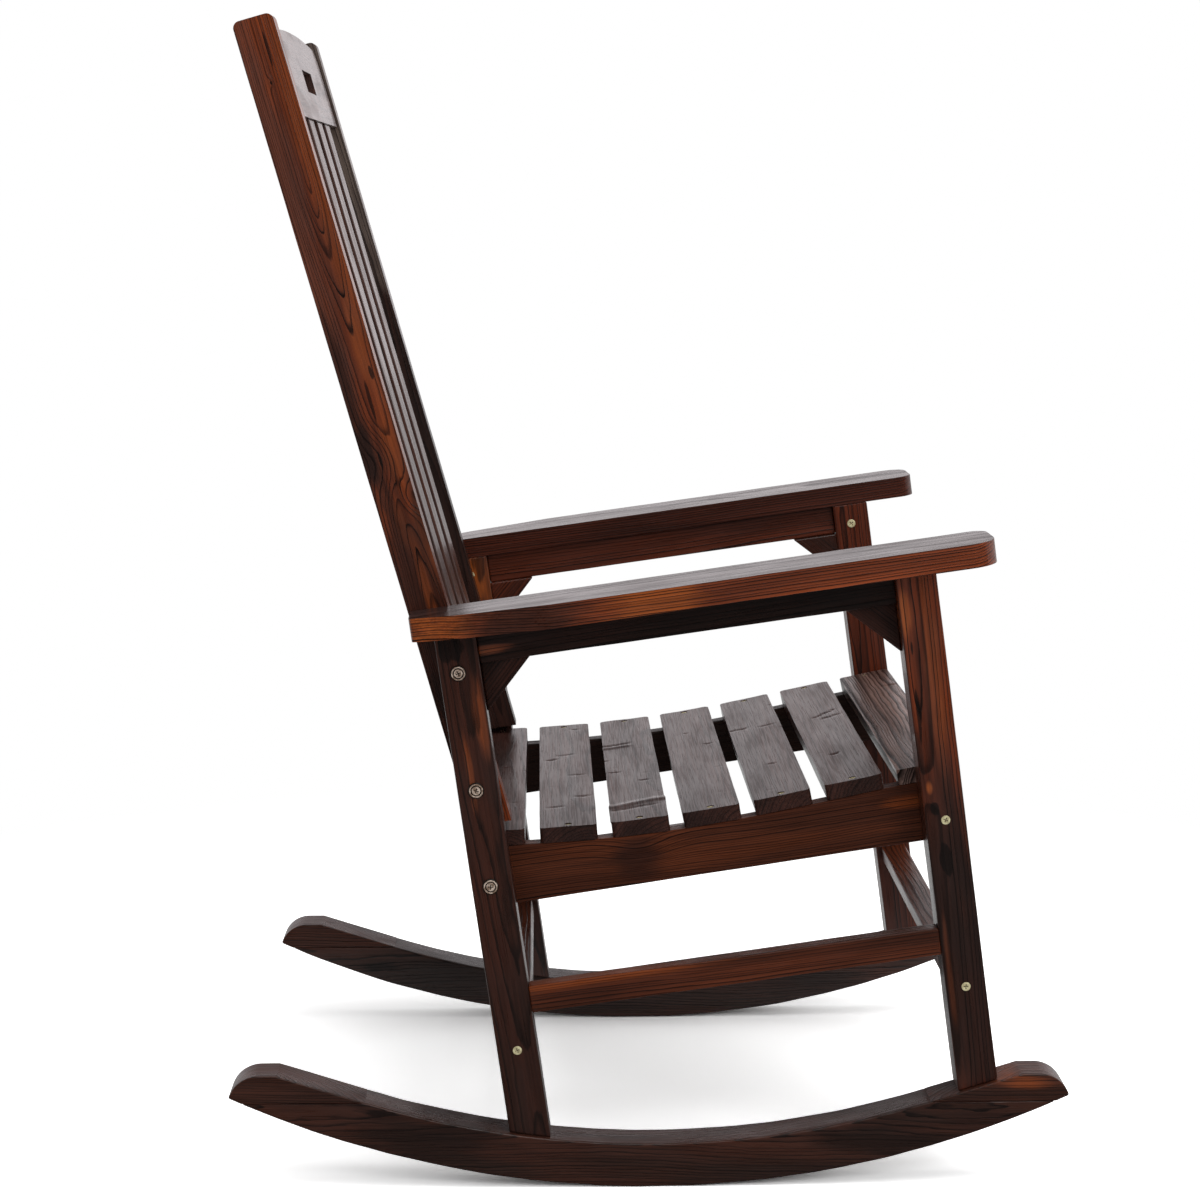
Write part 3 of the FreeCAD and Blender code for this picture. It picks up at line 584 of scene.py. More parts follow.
def face_outlines(node, face):
    """The loops of a node's outermost flat face along a direction, and the thickness.
    Loops as small as a screw hole are left out."""
    net = cad_net(node)
    heights = [v.co.dot(face) for v in net.verts]
    top = max(heights)
    flat = {f for f in net.faces
            if f.normal.dot(face) > 0.999 and abs(f.verts[0].co.dot(face) - top) < 2e-4}
    rim = {}
    for f in flat:
        for loop in f.loops:
            if not any(other in flat for other in loop.edge.link_faces if other != f):
                rim[loop.vert.index] = (loop.link_loop_next.vert.index, loop.vert.co.copy())
    loops = []
    while rim:
        here, points = next(iter(rim)), []
        while here in rim:
            here, point = rim.pop(here)
            points.append(point)
        loops.append(straightened(points))
    net.free()
    return [loop for loop in loops if spread(loop) > SMALLEST_LOOP], top - min(heights)


def spread(points):
    return max((one - points[0]).length for one in points)


def straightened(points):
    """Drops the points that lie on a straight line between their neighbours."""
    kept = []
    for number, point in enumerate(points):
        before = (point - points[number - 1]).normalized()
        after = (points[(number + 1) % len(points)] - point).normalized()
        if before.angle(after) > STRAIGHT:
            kept.append(point)
    return kept


def prism(loops, thickness, face):
    """A closed board from the loops of its upper face; a second loop is a slot."""
    net = bmesh.new()
    skins = ([], [])
    for points in loops:
        rims = []
        for drop, skin in zip((0, thickness), skins):
            verts = [net.verts.new(p - face * drop) for p in points]
            skin += [net.edges.new((verts[n - 1], verts[n])) for n in range(len(verts))]
            rims.append(verts)
        for n in range(len(points)):
            net.faces.new((rims[0][n - 1], rims[1][n - 1], rims[1][n], rims[0][n]))
    for skin, way in zip(skins, (face, -face)):
        bmesh.ops.triangle_fill(net, use_beauty=True, edges=skin, normal=way)
    bmesh.ops.recalc_face_normals(net, faces=net.faces)
    return net


def ease(net, width):
    """Rounds every sharp edge, as sandpaper does, and marks the rounded strip."""
    arris = net.verts.layers.float.new("arris")
    sharp = [e for e in net.edges if e.is_manifold and e.calc_face_angle() > SHARP_EDGE]
    made = bmesh.ops.bevel(net, geom=sharp, offset=width, segments=3, profile=0.5,
                           affect="EDGES", clamp_overlap=True)
    for vert in made["verts"]:
        vert[arris] = 1.0


def slice_net(net, direction, step):
    """Cuts evenly spaced lines round a board. New points aren't at its edges."""
    spots = [v.co.dot(direction) for v in net.verts]
    low, high = min(spots), max(spots)
    count = max(int((high - low) / step), 1)
    for number in range(1, count):
        spot = low + (high - low) * number / count
        bmesh.ops.bisect_plane(net, geom=net.verts[:] + net.edges[:] + net.faces[:],
                               dist=1e-6, plane_co=direction * spot, plane_no=direction)


def brushed(net, depth, seed, pitch=22.0):
    """Moves the skin in and out by slow noise; pitch is its waves a metre."""
    net.normal_update()
    shift = Vector((seed * 7.3, seed * 3.1, seed * 5.7))
    moves = [(v, v.normal * noise.noise(v.co * pitch + shift) * depth) for v in net.verts]
    for vert, move in moves:
        vert.co += move


def placed(mesh, name, material, nodes):
    """Makes the object, smooths it, and puts it in the frame in place of its CAD nodes."""
    mesh.materials.clear()
    mesh.materials.append(material)
    mesh.polygons.foreach_set("use_smooth", [True] * len(mesh.polygons))
    mesh.set_sharp_from_angle(angle=SHARP_SHADING)
    piece = new_object(name, mesh)
    even = piece.modifiers.new("even_shading", "WEIGHTED_NORMAL")
    even.keep_sharp = True
    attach(piece, "root")
    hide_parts(*nodes)


def mesh_of(net, name):
    mesh = bpy.data.meshes.new(name)
    net.to_mesh(mesh)
    net.free()
    return mesh


# %% [markdown]
# ## Legs, rails, armrests and posts
# The list says which way each board's broad face looks and which way its grain runs, how
# far off the pith lay when the board was sawn, and how the finish turned out. The right
# side is the one nearest the camera.

# %% The list of boards
DIAGONAL_FRONT = (UP - ALONG).normalized()
DIAGONAL_REAR = (UP + ALONG).normalized()
BOARDS = [
    # node, slot, finish, broad face, grain, pith offset across and behind, lean
    ("front_leg_{}", "leg_wood", "front_leg", ACROSS, UP, (-0.013, -0.031), (0.01, 0.01)),
    ("rear_leg_{}", "leg_wood", "rear_leg", ACROSS, UP, (0.01, -0.05), (0.01, -0.01)),
    ("side_stretcher_{}", "rail_wood", "stretcher", ACROSS, ALONG, (0.03, -0.03), (0, 0)),
    ("arm_rail_{}", "rail_wood", "arm_rail", ACROSS, ALONG, (0.03, -0.04), (0.01, 0)),
    ("seat_rail_{}", "rail_wood", "rail", ACROSS, ALONG, (0.1, -0.05), (0, 0.006)),
    ("armrest_{}", "armrest_wood", "armrest", UP, ALONG, (0, -0.1), (0.004, 0.01)),
    ("back_post_{}", "post_wood", "post", ACROSS, BACK_UP, (0.0056, -0.0305), (0, 0)),
    *[("rocker_block_%s_{}" % end, "rocker_wood", "block", ACROSS, LENGTHWAYS, (0.05, -0.03),
       (0, 0.02)) for end in ("front", "rear")],
    ("arm_brace_front_{}", "rail_wood", "brace", ACROSS, DIAGONAL_FRONT, (0.05, -0.01), (0, 0)),
    ("arm_brace_rear_{}", "rail_wood", "brace", ACROSS, DIAGONAL_REAR, (0.05, -0.01), (0, 0)),
]
CROSS_BOARDS = [
    ("front_stretcher", "rail_wood", "stretcher", UP, ACROSS, (0.03, -0.04), (0, 0.01)),
    ("rear_stretcher", "rail_wood", "stretcher", UP, ACROSS, (0.02, -0.05), (0, 0.01)),
    ("lower_back_rail", "back_wood", "back", BACK_DEPTH, ACROSS, (0.02, -0.05), (0, 0.01)),
    ("back_slat_1", "back_wood", "back", BACK_DEPTH, BACK_UP, (0.01, -0.05), (0.01, 0)),
    ("back_slat_2", "back_wood", "back", BACK_DEPTH, BACK_UP, (0.02, -0.04), (0.01, 0)),
    ("back_slat_3", "back_wood", "back", BACK_DEPTH, BACK_UP, (-0.01, -0.05), (0.01, 0)),
    ("headrest", "back_wood", "back", BACK_DEPTH, ACROSS, (0.01, -0.05), (0.01, 0.02)),
]
print(len(BOARDS), "kinds of paired boards and", len(CROSS_BOARDS), "cross boards")

# %% [markdown]
# ## Marks
# What the photograph shows at certain places is put there one by one: knots, swirls, scorched
# spots and stains. Each mark is its kind, its place in the frame that its board is square
# to, and its size, or its reach along and across the grain. A far board that lies in shade
# or took the finish differently has other colours than its fellow.

# %% Marks and changes
MARKS = {
    "back_post_right": (leaned, [
        ("char", (0.0488, 1.166), (0.024, 0.0014)), ("knot", (0.055, 1.1365), 0.002),
        ("dusk", (0.074, 1.02), (0.34, 0.024)), ("brown", (0.074, 0.83), (0.12, 0.014)),
        ("rust", (0.034, 1), (0.3, 0.016)), ("rust", (0.047, 0.88), (0.04, 0.008)),
        ("char", (0.0507, 0.825), (0.03, 0.003)), ("char", (0.0423, 0.85), (0.01, 0.003)),
        ("swirl", (0.0596, 0.7653), 0.011), ("smoke", (0.07, 0.785), (0.06, 0.018)),
        ("rust", (0.044, 0.77), (0.05, 0.01)), ("swirl", (0.0406, 0.7245), 0.007),
        ("rust", (0.0562, 0.70), (0.03, 0.007)), ("rust", (0.038, 0.67), (0.05, 0.008)),
        ("brown", (0.065, 0.60), (0.2, 0.05)), ("rust", (0.05, 0.6), (0.1, 0.006)),
        ("char", (0.058, 0.7653), (0.016, 0.0026)), ("smoke", (0.05, 0.5), (0.06, 0.05)),
        ("rust", (0.045, 0.445), (0.03, 0.01)), ("brown", (0.05, 0.49), (0.06, 0.04))]),
    "front_leg_right": (tilted, [
        ("amber", (0.3374, 0.53), (0.028, 0.007)), ("rust", (0.358, 0.47), (0.12, 0.009)),
        ("char", (0.3398, 0.498), (0.014, 0.0022)), ("char", (0.3385, 0.432), (0.034, 0.0026)),
        ("brown", (0.327, 0.43), (0.14, 0.008)), ("swirl", (0.3405, 0.3567), 0.007),
        ("brown", (0.35, 0.25), (0.16, 0.08)), ("smoke", (0.355, 0.15), (0.2, 0.05)),
        ("amber", (0.3405, 0.3567), (0.008, 0.004)), ("brown", (0.365, 0.1), (0.08, 0.01)),
        ("char", (0.3469, 0.284), (0.022, 0.009)), ("char", (0.343, 0.336), (0.01, 0.006)),
        ("rust", (0.338, 0.17), (0.07, 0.004))]),
    "rear_leg_right": (tilted, [
        ("rust", (-0.083, 0.49), (0.05, 0.007)), ("rust", (-0.1, 0.44), (0.05, 0.004)),
        ("char", (-0.1, 0.56), (0.02, 0.02))]),
    "rear_leg_left": (tilted, [("amber", (-0.09, 0.55, 0.243), (0.04, 0.02))]),
    "back_post_left": (leaned, [("grey", (0.05, 1.12), (0.24, 0.06))]),
    "armrest_right": (tilted, [
        ("amber", (-0.118, 0.588, -0.33), (0.05, 0.06)),
        ("brown", (-0.03, 0.588, -0.33), (0.07, 0.06)),
        ("amber", (0.1, 0.588, -0.33), (0.05, 0.06))]),
    "seat_rail_right": (tilted, [
        ("swirl", (0.0526, 0.33), 0.012), ("brown", (0.05, 0.32), (0.03, 0.03)),
        ("rust", (0.319, 0.34), (0.03, 0.008))]),
    "side_stretcher_right": (tilted, [("rust", (-0.02, 0.216), (0.12, 0.006))]),
    "arm_rail_right": (tilted, [("rust", (-0.075, 0.555), (0.03, 0.005))]),
    "rocker_block_front_right": (level, [("rust", (-0.37, 0.105, -0.27), (0.03, 0.008))]),
    "rocker": (level, [
        ("smoke", (-0.2306, 0.046, -0.27), (0.08, 0.02)),
        ("smoke", (0.22, 0.05, -0.27), (0.1, 0.03)),
        ("brown", (-0.33, 0.066, -0.27), (0.05, 0.012))]),
}
CHANGES = {
    "armrest_left": FINISHES["far_armrest"],
    "back_post_left": dict(early=(62, 34, 26), tone=(42, 25, 20)),
    "back_post_right": dict(bow=(leaned(0.05, 0.8), -0.28)),
    "arm_rail_left": dict(early=(112, 50, 28), tone=(74, 34, 22)),
    "arm_brace_rear_left": dict(early=(112, 50, 28), tone=(66, 32, 22)),
    "front_leg_left": dict(early=(112, 46, 20), tone=(66, 28, 16)),
    "seat_rail_left": dict(early=(46, 27, 21), tone=(34, 21, 17), late=(22, 13, 11)),
    "headrest": dict(gloss=1.0, coat=0.4, char=0.0, relief=0.0001, groove=0.2),
    "front_stretcher": dict(relief=0.0016), "rear_stretcher": dict(relief=0.0012),
}


def marks_of(board):
    """A board's marks with their places on the chair."""
    where, rows = MARKS.get(board, (None, ()))
    return [(kind, where(*spot), size) for kind, spot, size in rows]


# %% All straight boards
EASED = 0.0018
NET_STEP = 0.012
SKIN_WAVES = 0.00022
jobs = [(row[0].format(side), *row[1:]) for row in BOARDS for side in ("left", "right")]
jobs += CROSS_BOARDS
for number, (node, slot, finish, face, grain, pith, lean) in enumerate(jobs, 1):
    net = prism(*face_outlines(node, face), face)
    ease(net, EASED)
    slice_net(net, grain, NET_STEP)
    slice_net(net, face.cross(grain), NET_STEP)
    brushed(net, SKIN_WAVES, number)
    low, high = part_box(node)
    centre = (Vector(low) + Vector(high)) / 2
    feed, to_board = board_place(centre, grain, face, pith, number, lean)
    material = wood_material("wood_of_" + node, finish, feed, to_board, marks_of(node),
                             **CHANGES.get(node, {}))
    placed(mesh_of(net, node), node + "_board", material, [node])
print(len(jobs), "boards")

# %% [markdown]
# ## Rockers
# A rocker is sawn from a thick plank along two circles about one axis, and its ends are cut
# level where the higher blocks are glued on. That is a rule, so Geometry Nodes bends a
# straight blank by it: one number in the blank says how far round the circle a point is, and
# another how deep it lies under the outer circle.

# %% The tree that bends a blank into a rocker
rocker_tree, w, given, result = new_group(
    "bend_rocker", "GeometryNodeTree",
    "Blank:Geometry Radius Axis_Y Front_Joint Rear_Joint Material:Material",
    "Geometry:Geometry")
across, share, depth = w.split(w.add("GeometryNodeInputPosition"))
circle = w.minus(given["Radius"], depth)
joint = w.add("Mix", {"data_type": "FLOAT"})
for key, value in ((0, w.maths("GREATER_THAN", share, 0)), (2, given["Rear Joint"]),
                   (3, given["Front Joint"])):
    w.feed(joint.inputs[key], value)
end = w.maths("ARCCOSINE", w.over(w.minus(given["Radius"], joint), circle))
angle = w.times(end, share)
y = w.minus(given["Axis Y"], w.times(circle, w.maths("SINE", angle)))
z = w.minus(given["Radius"], w.times(circle, w.maths("COSINE", angle)))
bent = w.add("GeometryNodeSetPosition", Geometry=given["Blank"],
             Position=w.joined(X=across, Y=y, Z=z))
w.finished(bent, given, result)


def grown(mesh, tree, name, **inputs):
    """Runs a Geometry Nodes tree on a mesh and gives the result as a plain mesh."""
    blank = new_object(name, mesh)
    modifier = blank.modifiers.new("tree", "NODES")
    modifier.node_group = tree
    for socket in tree.interface.items_tree:
        title = socket.name.replace(" ", "_")
        if socket.in_out == "INPUT" and title in inputs:
            modifier[socket.identifier] = inputs[title]
    scene_now = bpy.context.evaluated_depsgraph_get()
    made = bpy.data.meshes.new_from_object(blank.evaluated_get(scene_now))
    blank.modifiers.remove(modifier)
    bpy.data.objects.remove(blank)
    return made


# %% Both rockers
ROCKER_RADIUS = 0.9792
ROCKER_DEPTH = 0.0443
ROCKER_EASED = 0.0022
ARC_STEP, DEPTH_STEP = 0.008, 0.009
HALF_ARC = 0.4
ROCKER_PITH, ROCKER_LEAN = (0.03, -0.05), (0, 0.01)
ROCKER_SKIN, ROCKER_SKIN_PITCH = 0.0006, 30.0
ROCKER_SEED, ROCKER_SKIN_SEED, DOWEL_SEED = 60, 70, 90
for number, side in enumerate(("left", "right")):
    node = "rocker_" + side
    (near, _, _), (far, _, _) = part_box(node)
    corners = [Vector((x, y, 0)) for x, y in ((near, -1), (far, -1), (far, 1), (near, 1))]
    net = prism([corners], ROCKER_DEPTH, -UPRIGHT)
    bmesh.ops.scale(net, vec=(1, HALF_ARC, 1), verts=net.verts)
    for vert in net.verts:
        vert.co.z = abs(vert.co.z)
    bmesh.ops.recalc_face_normals(net, faces=net.faces)
    ease(net, ROCKER_EASED)
    slice_net(net, LENGTHWAYS, ARC_STEP)
    slice_net(net, UPRIGHT, DEPTH_STEP)
    bmesh.ops.scale(net, vec=(1, 1 / HALF_ARC, 1), verts=net.verts)
    feed, to_board = board_place(Vector(((near + far) / 2, 0, 0.05)), LENGTHWAYS, ACROSS,
                                 ROCKER_PITH, ROCKER_SEED + number, ROCKER_LEAN)
    material = wood_material("wood_of_" + node, "rocker", feed, to_board, marks_of("rocker"))
    mesh = grown(mesh_of(net, node), rocker_tree, node + "_blank", Radius=ROCKER_RADIUS,
                 Axis_Y=ROCKING_LINE, Front_Joint=0.0853, Rear_Joint=0.0888, Material=material)
    net = bmesh.new()
    net.from_mesh(mesh)
    brushed(net, ROCKER_SKIN, ROCKER_SKIN_SEED + number, ROCKER_SKIN_PITCH)
    placed(mesh_of(net, node + "_bent"), node + "_board", material, [node])
print("rockers on a circle of", ROCKER_RADIUS, "m")

# %% [markdown]
# ## Seat
# Seven equal boards lie on the dished side rails. The rails' top is an arc with straight
# runs at both ends, so the tree works out the place and slope of each board by that rule,
# lays the boards and knocks small dents into them, and the splits and chips that the
# photograph shows are a list of scars. Each point keeps its place in its own board as an
# attribute, so that the grain runs along every board.

# %% One seat board, with its two screw holes
SEAT_HALF_LENGTH = 0.243
SEAT_HALF_WIDTH = 0.0285
SEAT_THICKNESS = 0.0155
SEAT_CORNER = 0.005
SEAT_EASED = 0.0024
SEAT_STEP = 0.003
SEAT_SCREW_X = 0.233
SEAT_SCREW_RADIUS = 0.0038


def arc_points(x, y, radius, first, last, count):
    """Points on an arc in the plane of the board's top, by angle in degrees."""
    angles = [math.radians(first + (last - first) * n / count) for n in range(count + 1)]
    return [Vector((x + radius * math.cos(a), y + radius * math.sin(a), SEAT_THICKNESS))
            for a in angles]


def seat_board():
    x, y = SEAT_HALF_LENGTH - SEAT_CORNER, SEAT_HALF_WIDTH - SEAT_CORNER
    outline = [point for way, (right, rear) in enumerate(((1, 1), (-1, 1), (-1, -1), (1, -1)))
               for point in arc_points(right * x, rear * y, SEAT_CORNER, 90 * way,
                                       90 * way + 90, 5)]
    holes = [arc_points(sign * SEAT_SCREW_X, 0, SEAT_SCREW_RADIUS, 360, 0, 16)[:-1]
             for sign in (-1, 1)]
    net = prism([outline] + holes, SEAT_THICKNESS, UPRIGHT)
    ease(net, SEAT_EASED)
    slice_net(net, ACROSS, SEAT_STEP)
    slice_net(net, LENGTHWAYS, SEAT_STEP)
    return mesh_of(net, "seat_board")


# %% The tree that lays the seat
SCARS = [
    # board counted from the rear, place along and across, slant, half width, half length, depth
    (2, 0.108, 0.014, 0.15, 0.005, 0.02, 0.8), (2, 0.096, 0.014, 0.1, 0.008, 0.02, -0.9),
    (2, -0.172, 0, 0.3, 0.012, 0.05, -0.9), (2, -0.192, 0.004, 0.2, 0.005, 0.03, 0.6),
    (4, 0.085, 0.018, 0.1, 0.004, 0.012, 0.8), (4, 0.078, -0.014, 0.1, 0.004, 0.01, 0.6),
    (5, 0.075, -0.006, 0.9, 0.004, 0.016, 0.9), (5, 0.055, -0.012, 0.5, 0.004, 0.014, 0.8),
    (5, -0.12, 0.004, 0.4, 0.004, 0.006, 0.8), (1, -0.02, -0.012, 0.1, 0.004, 0.01, 0.5),
    (1, -0.12, -0.016, 0, 0.004, 0.01, 0.6), (1, 0.08, 0, 0.2, 0.004, 0.012, 0.5),
    (1, -0.16, 0.012, 0.2, 0.004, 0.01, 0.5),
]
SCAR_WOBBLE = 0.012
DENT_DEPTH = 0.6
BOARD_SHIFT = (3.1, 0.011, 0.004)
seat_tree, w, given, result = new_group(
    "lay_seat", "GeometryNodeTree",
    "Board:Geometry Count:Int First Pitch Dish_Place Dish_Height Dish_Radius Rear_Run "
    "Front_Run Half_Width Setback Tilt Wear Material:Material", "Geometry:Geometry")
index = w.add("GeometryNodeInputIndex")
radius = given["Dish Radius"]
station = w.plus(given["First"], w.times(given["Pitch"], index))
offset = w.minus(station, given["Dish Place"])
curved = w.largest(w.maths("MINIMUM", offset, given["Front Run"]),
                   w.times(given["Rear Run"], -1))
slope = w.maths("ARCSINE", w.over(curved, radius))


def sagitta(chord):
    """How far an arc of the dish rises over half a chord."""
    return w.minus(radius, w.maths("SQRT", w.minus(w.times(radius, radius),
                                                   w.times(chord, chord))))


rise = w.plus(sagitta(curved), w.times(w.minus(offset, curved), w.maths("TANGENT", slope)))
lift = sagitta(given["Half Width"])
along = w.minus(station, w.times(lift, w.maths("SINE", slope)))
up = w.plus(given["Dish Height"], rise, w.times(lift, w.maths("COSINE", slope)))
tilt_sine, tilt_cosine = w.maths("SINE", given["Tilt"]), w.maths("COSINE", given["Tilt"])
y = w.plus(w.minus(given["Setback"], w.times(along, tilt_cosine)), w.times(up, tilt_sine))
z = w.plus(w.times(along, tilt_sine), w.times(up, tilt_cosine))
row = w.add("GeometryNodeMeshLine", Count=given["Count"])
row = w.add("GeometryNodeSetPosition", Geometry=row, Position=w.joined(Y=y, Z=z))
row = w.store(row, "board_number", index)
board = w.store(given["Board"], "wood", w.add("GeometryNodeInputPosition"), "FLOAT_VECTOR")
turn = w.add("FunctionNodeEulerToRotation",
             Euler=w.joined(X=w.times(w.plus(given["Tilt"], slope), -1)))
laid = w.add("GeometryNodeInstanceOnPoints", Points=row, Instance=board, Rotation=turn)
laid = w.add("GeometryNodeRealizeInstances", Geometry=laid)
own, number = w.stored("wood", "FLOAT_VECTOR"), w.stored("board_number")
own_x, own_y, _ = w.split(own)
wood = w.vector("ADD", own, w.scaled(BOARD_SHIFT, number))
slow_wave = w.minus(w.noise(wood, (9, 40, 40)), 0.5)
dents = w.smooth(w.noise(wood, (90, 30, 30)), 0.74, 0.78)
shift = w.minus(slow_wave, w.times(dents, DENT_DEPTH))
wobble = w.times(w.minus(w.noise(wood, (0, 110, 0), 2), 0.5), SCAR_WOBBLE)
for board_at, x_at, y_at, slant, width, reach, depth in SCARS:
    beside = w.minus(own_y, y_at)
    off = w.plus(w.minus(own_x, x_at), w.times(beside, slant), wobble)
    ridge = w.times(w.opposite(w.smooth(w.maths("ABSOLUTE", off), 0, width)), w.opposite(
        w.smooth(w.maths("ABSOLUTE", beside), reach * 0.6, reach)))
    there = w.maths("COMPARE", number, float(board_at), 0.1)
    shift = w.minus(shift, w.times(ridge, there, depth))
shift = w.scaled(w.add("GeometryNodeInputNormal"), w.times(shift, given["Wear"]))
laid = w.add("GeometryNodeSetPosition", Geometry=laid, Offset=shift)
w.finished(w.store(laid, "wood", wood, "FLOAT_VECTOR"), given, result)

# %% Seat boards


def front_board_brushed_and_sheen(others, front):
    """A value that the front board has otherwise: it is brushed deeper, and its paler colours
    are painted sheen.
    """
    def socket(w):
        there = w.smooth(w.attribute("board_number"), 5.2, 5.8)
        if isinstance(others, tuple):
            return w.mix(there, colour(*others), colour(*front))
        return w.plus(others, w.times(there, front - others))
    return socket


seat_finish = FINISHES["seat"]
# The front board's paler early and tone colours are painted sheen, standing in for the brighter
# reflection on it; its deeper relief, grooves and bands are real brushing.
seat_wood = wood_material(
    "wood_of_seat", "seat",
    lambda w: w.vector("ADD", w.attribute("wood", "Vector"), (0, 0.006, 0.02)),
    relief=front_board_brushed_and_sheen(0.0005, 0.0024), groove=front_board_brushed_and_sheen(0.16, 1),
    band=front_board_brushed_and_sheen(0.48, 0.12), early=front_board_brushed_and_sheen(seat_finish["early"], (150, 118, 108)),
    tone=front_board_brushed_and_sheen(seat_finish["tone"], (88, 66, 60)),
    late=front_board_brushed_and_sheen(seat_finish["late"], (20, 12, 10)))
seat_mesh = grown(seat_board(), seat_tree, "seat_blank", Count=7, First=-0.0874, Pitch=0.0719,
                  Dish_Place=0.085, Dish_Height=0.3446, Dish_Radius=1.5, Rear_Run=0.125,
                  Front_Run=0.105, Half_Width=SEAT_HALF_WIDTH, Setback=SETBACK,
                  Tilt=FRAME_TILT, Wear=0.0012, Material=seat_wood)
placed(seat_mesh, "seat_boards", seat_wood,
       ["seat_slat_%d" % n for n in range(1, 8)])
print("seat of", len(seat_mesh.polygons), "faces and", len(SCARS), "scars")

# %% [markdown]
# ## Screws
# The heads are turned steel with a punched cross, zinc plated and passivated yellow. The
# bolts through the rear legs have larger heads with a raised rim. A head is a few rings of
# points: the ones inside the cross are pushed down, and their spokes lie on the cross's
# sides, so it comes out crisp with few faces. Geometry Nodes sets one head at each place
# that the CAD model gives, turned by chance, as a driver leaves them. The screws under
# the armrests slant up from pockets in the legs. The solids fill those pockets, so their
# heads are set flat where the pockets open, on the inner faces of the legs.

# %% Two kinds of head
INNER_FACE = 0.243
RECESS_SPOKES = [-9, -3, 3, 9, 20, 32, 45, 58, 70]
RECESS_HALF_ANGLE = 12
RECESS_DEPTH = 0.3


def head_mesh(name, profile, recess):
    """A head of radius 1 from (radius, height) pairs, with a cross recess in its middle."""
    angles = sorted(quarter * 90 + a for quarter in range(4) for a in RECESS_SPOKES)
    net = bmesh.new()
    recess_shade = net.verts.layers.float.new("recess_shade")
    rings = []
    for radius, height in profile:
        ring = []
        for a in angles:
            turn = math.radians(a)
            aside = abs((a + 45) % 90 - 45)
            inside = 0.001 < radius <= recess * 1.01 and aside < RECESS_HALF_ANGLE
            drop = RECESS_DEPTH * (1.2 - radius / recess) if inside else 0.0
            vert = net.verts.new((radius * math.cos(turn), radius * math.sin(turn),
                                  height - drop))
            # This weight marks where shade is painted: the cross recess, the middle, and the
            # part of the head below the wood.
            vert[recess_shade] = min(max(-height * 8, 0.0), 1.0) if radius > recess else float(
                inside or radius < 0.12)
            ring.append(vert)
        rings.append(ring)
    for inner_ring, outer_ring in zip(rings, rings[1:]):
        for n in range(len(angles)):
            net.faces.new((inner_ring[n - 1], outer_ring[n - 1], outer_ring[n], inner_ring[n]))
    bmesh.ops.remove_doubles(net, verts=net.verts, dist=WELD)
    net.faces.new(rings[-1][::-1])
    bmesh.ops.recalc_face_normals(net, faces=net.faces)
    return new_object(name, mesh_of(net, name))


flat_head = head_mesh("flat_head", [
    (0, -0.32), (0.1, -0.1), (0.16, 0), (0.48, 0.03), (0.54, 0.06), (0.8, 0.05), (0.95, 0.02),
    (1, -0.04), (0.8, -0.3)], 0.48)
rim_head = head_mesh("rim_head", [
    (0, -0.32), (0.1, -0.1), (0.15, 0), (0.36, 0), (0.42, 0.02), (0.6, 0), (0.68, -0.09),
    (0.8, -0.09), (0.88, 0), (0.98, 0), (1.07, -0.1), (1.2, -0.25), (1.2, -0.32)], 0.36)


def screw_places(node):
    """Where each screw's head is, which way it looks, and its radius: the largest round
    flat that a solid has at one of its ends."""
    net = cad_net(node)
    left, found = set(net.verts), []
    while left:
        group, edge = set(), [next(iter(left))]
        while edge:
            vert = edge.pop()
            if vert in left:
                left.discard(vert)
                group.add(vert)
                edge += [e.other_vert(vert) for e in vert.link_edges]
        flats = {}
        for f in {f for v in group for f in v.link_faces}:
            key = (*[round(c, 2) for c in f.normal], round(f.verts[0].co.dot(f.normal), 4))
            flats.setdefault(key, []).append(f)
        best = (0, None, None)
        for faces in flats.values():
            way, rim = faces[0].normal, {v for f in faces for v in f.verts}
            centre = sum((v.co for v in rim), Vector()) / len(rim)
            if all((v.co - centre).dot(way) < 1e-4 for v in group) and len(rim) > 8:
                radius = max((v.co - centre).length for v in rim)
                best = max(best, (radius, centre, way.copy()), key=lambda one: one[0])
        radius, centre, way = best
        found.append((centre, way, radius))
    net.free()
    return sorted(found, key=lambda one: tuple(round(c, 4) for c in one[0]))


# %% The tree that sets the heads, and the plated steel
screw_tree, w, given, result = new_group(
    "set_heads", "GeometryNodeTree",
    "Places:Geometry Head:Object Seed:Int Material:Material", "Geometry:Geometry")
turn = w.add("FunctionNodeAlignRotationToVector", {"axis": "Z"},
             Vector=w.stored("aim", "FLOAT_VECTOR"))
head = w.add("GeometryNodeObjectInfo", Object=given["Head"]).outputs["Geometry"]
heads = w.add("GeometryNodeInstanceOnPoints", Points=given["Places"], Instance=head,
              Rotation=turn, Scale=w.stored("size"))
spin = w.add("FunctionNodeRandomValue", {"data_type": "FLOAT"}, Seed=given["Seed"])
w.feed(spin.inputs[3], 6.28)
heads = w.add("GeometryNodeRotateInstances", Instances=heads,
              Rotation=w.joined(Z=spin.outputs[1]))
w.finished(heads, given, result)
# Painted shade: the dark colour laid in the cross recess and where the head sinks into the
# wood.
RECESS_SHADE_COLOUR = (30, 22, 14)


def plated_steel(name, pale, dull):
    """Zinc plate: a thin uneven colour over bright metal, duller in patches; its recess has
    painted shade.
    """
    material = bpy.data.materials.new(name)
    w = emptied(material)
    place = w.own_place()
    patchy = w.smooth(w.noise(place, (260, 260, 260), 2), 0.35, 0.65)
    plate = w.mix(patchy, colour(*pale), colour(*dull))
    # Painted shade in the recess, laid over the plate.
    plate = w.mix(w.smooth(w.attribute("recess_shade"), 0.35, 0.6), plate, colour(*RECESS_SHADE_COLOUR))
    scratch = w.noise(place, (2400, 300, 1900), 1)
    bump = w.add("Bump", Height=scratch, Strength=0.3, Distance=0.0001)
    w.surface(w.add("BsdfPrincipled", Base_Color=plate, Metallic=0.35,
                    Roughness=w.plus(0.25, w.times(scratch, 0.35)), Normal=bump))
    return material


# %% Heads at their places


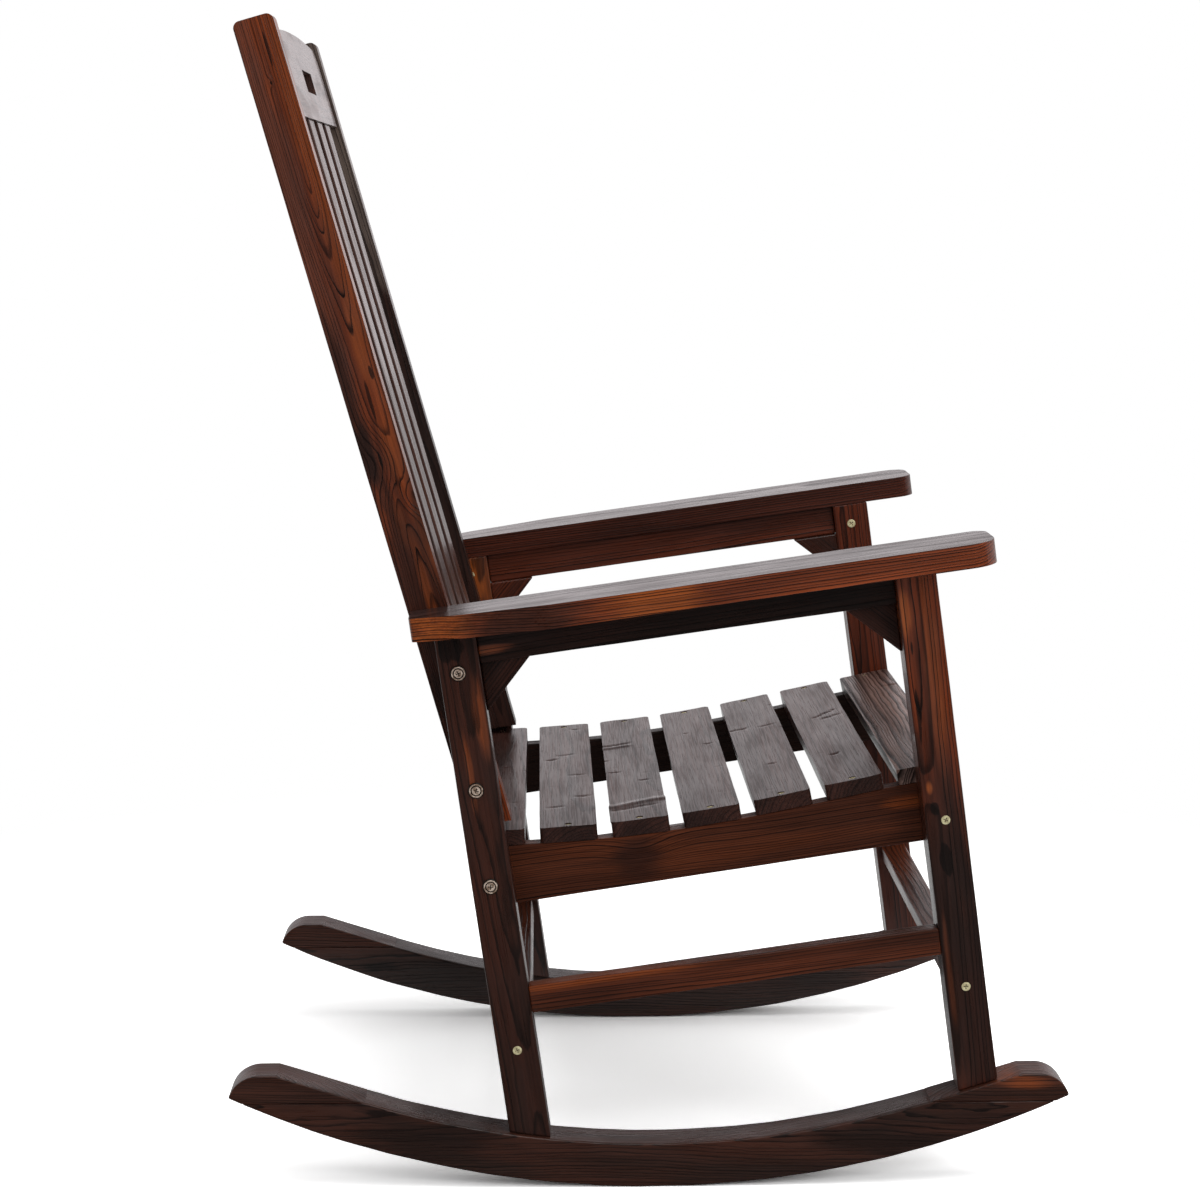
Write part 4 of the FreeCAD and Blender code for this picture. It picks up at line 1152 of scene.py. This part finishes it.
def at_pocket_mouth(centre, way, radius):
    """The slanting screws under the armrests show as heads where their pockets open."""
    reach = (abs(centre.x) - INNER_FACE) / abs(way.x)
    return centre + way * reach, Vector((-math.copysign(1, centre.x), 0, 0)), radius


bolt_metal = plated_steel("bolt_zinc", (224, 204, 188), (142, 118, 100))
screw_metal = plated_steel("screw_zinc", (236, 228, 184), (200, 188, 146))
BOLT, SCREW = (rim_head, "bolt_metal", bolt_metal), (flat_head, "screw_metal", screw_metal)
FASTENERS = [
    # node, look, size beside the CAD head's, lift off the wood
    ("post_bolts", BOLT, 1.06, 0.0004), ("frame_screws", SCREW, 1, 0.0004),
    ("arm_screws", SCREW, 0.72, 0.0004), ("seat_screws", SCREW, 0.96, 0.0003),
    ("rocker_screws", SCREW, 1, 0),
]
for node, (head, slot, metal), growth, lift in FASTENERS:
    found = screw_places(node)
    if node == "arm_screws":
        found = [at_pocket_mouth(*one) for one in found]
    spots = bpy.data.meshes.new(node)
    spots.from_pydata([centre + way * lift for centre, way, _ in found], [], [])
    aims = spots.attributes.new("aim", "FLOAT_VECTOR", "POINT")
    aims.data.foreach_set("vector", [c for _, way, _ in found for c in way])
    sizes = spots.attributes.new("size", "FLOAT", "POINT")
    sizes.data.foreach_set("value", [radius * growth for _, _, radius in found])
    made = grown(spots, screw_tree, node + "_places", Head=head, Seed=7, Material=metal)
    placed(made, node + "_heads", metal, [node])
    print(node, len(found), "heads, radius", round(found[0][2] * 1000, 2), "mm")
for head in (flat_head, rim_head):
    bpy.data.objects.remove(head)

# %% [markdown]
# ## Dowels
# The hidden dowels stay as the CAD model has them. They are plain beech, so they get a
# pale finish from the same wood group.

# %% Dowel finish
FINISHES["dowel"] = recipe((178, 140, 98), (160, 122, 84), (132, 96, 62), 0.002, 0.004, 0)
feed, to_board = board_place(Vector(), ACROSS, UP, (0.02, -0.03), DOWEL_SEED)
dowel_wood = wood_material("wood_of_dowels", "dowel", feed)
for node in ("frame_dowels", "back_dowels"):
    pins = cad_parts[node].data
    pins.materials.clear()
    pins.materials.append(dowel_wood)
print("dowels finished,", len(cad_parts), "nodes in all")

# %% View transform
bpy.context.scene.view_settings.view_transform = "Standard"
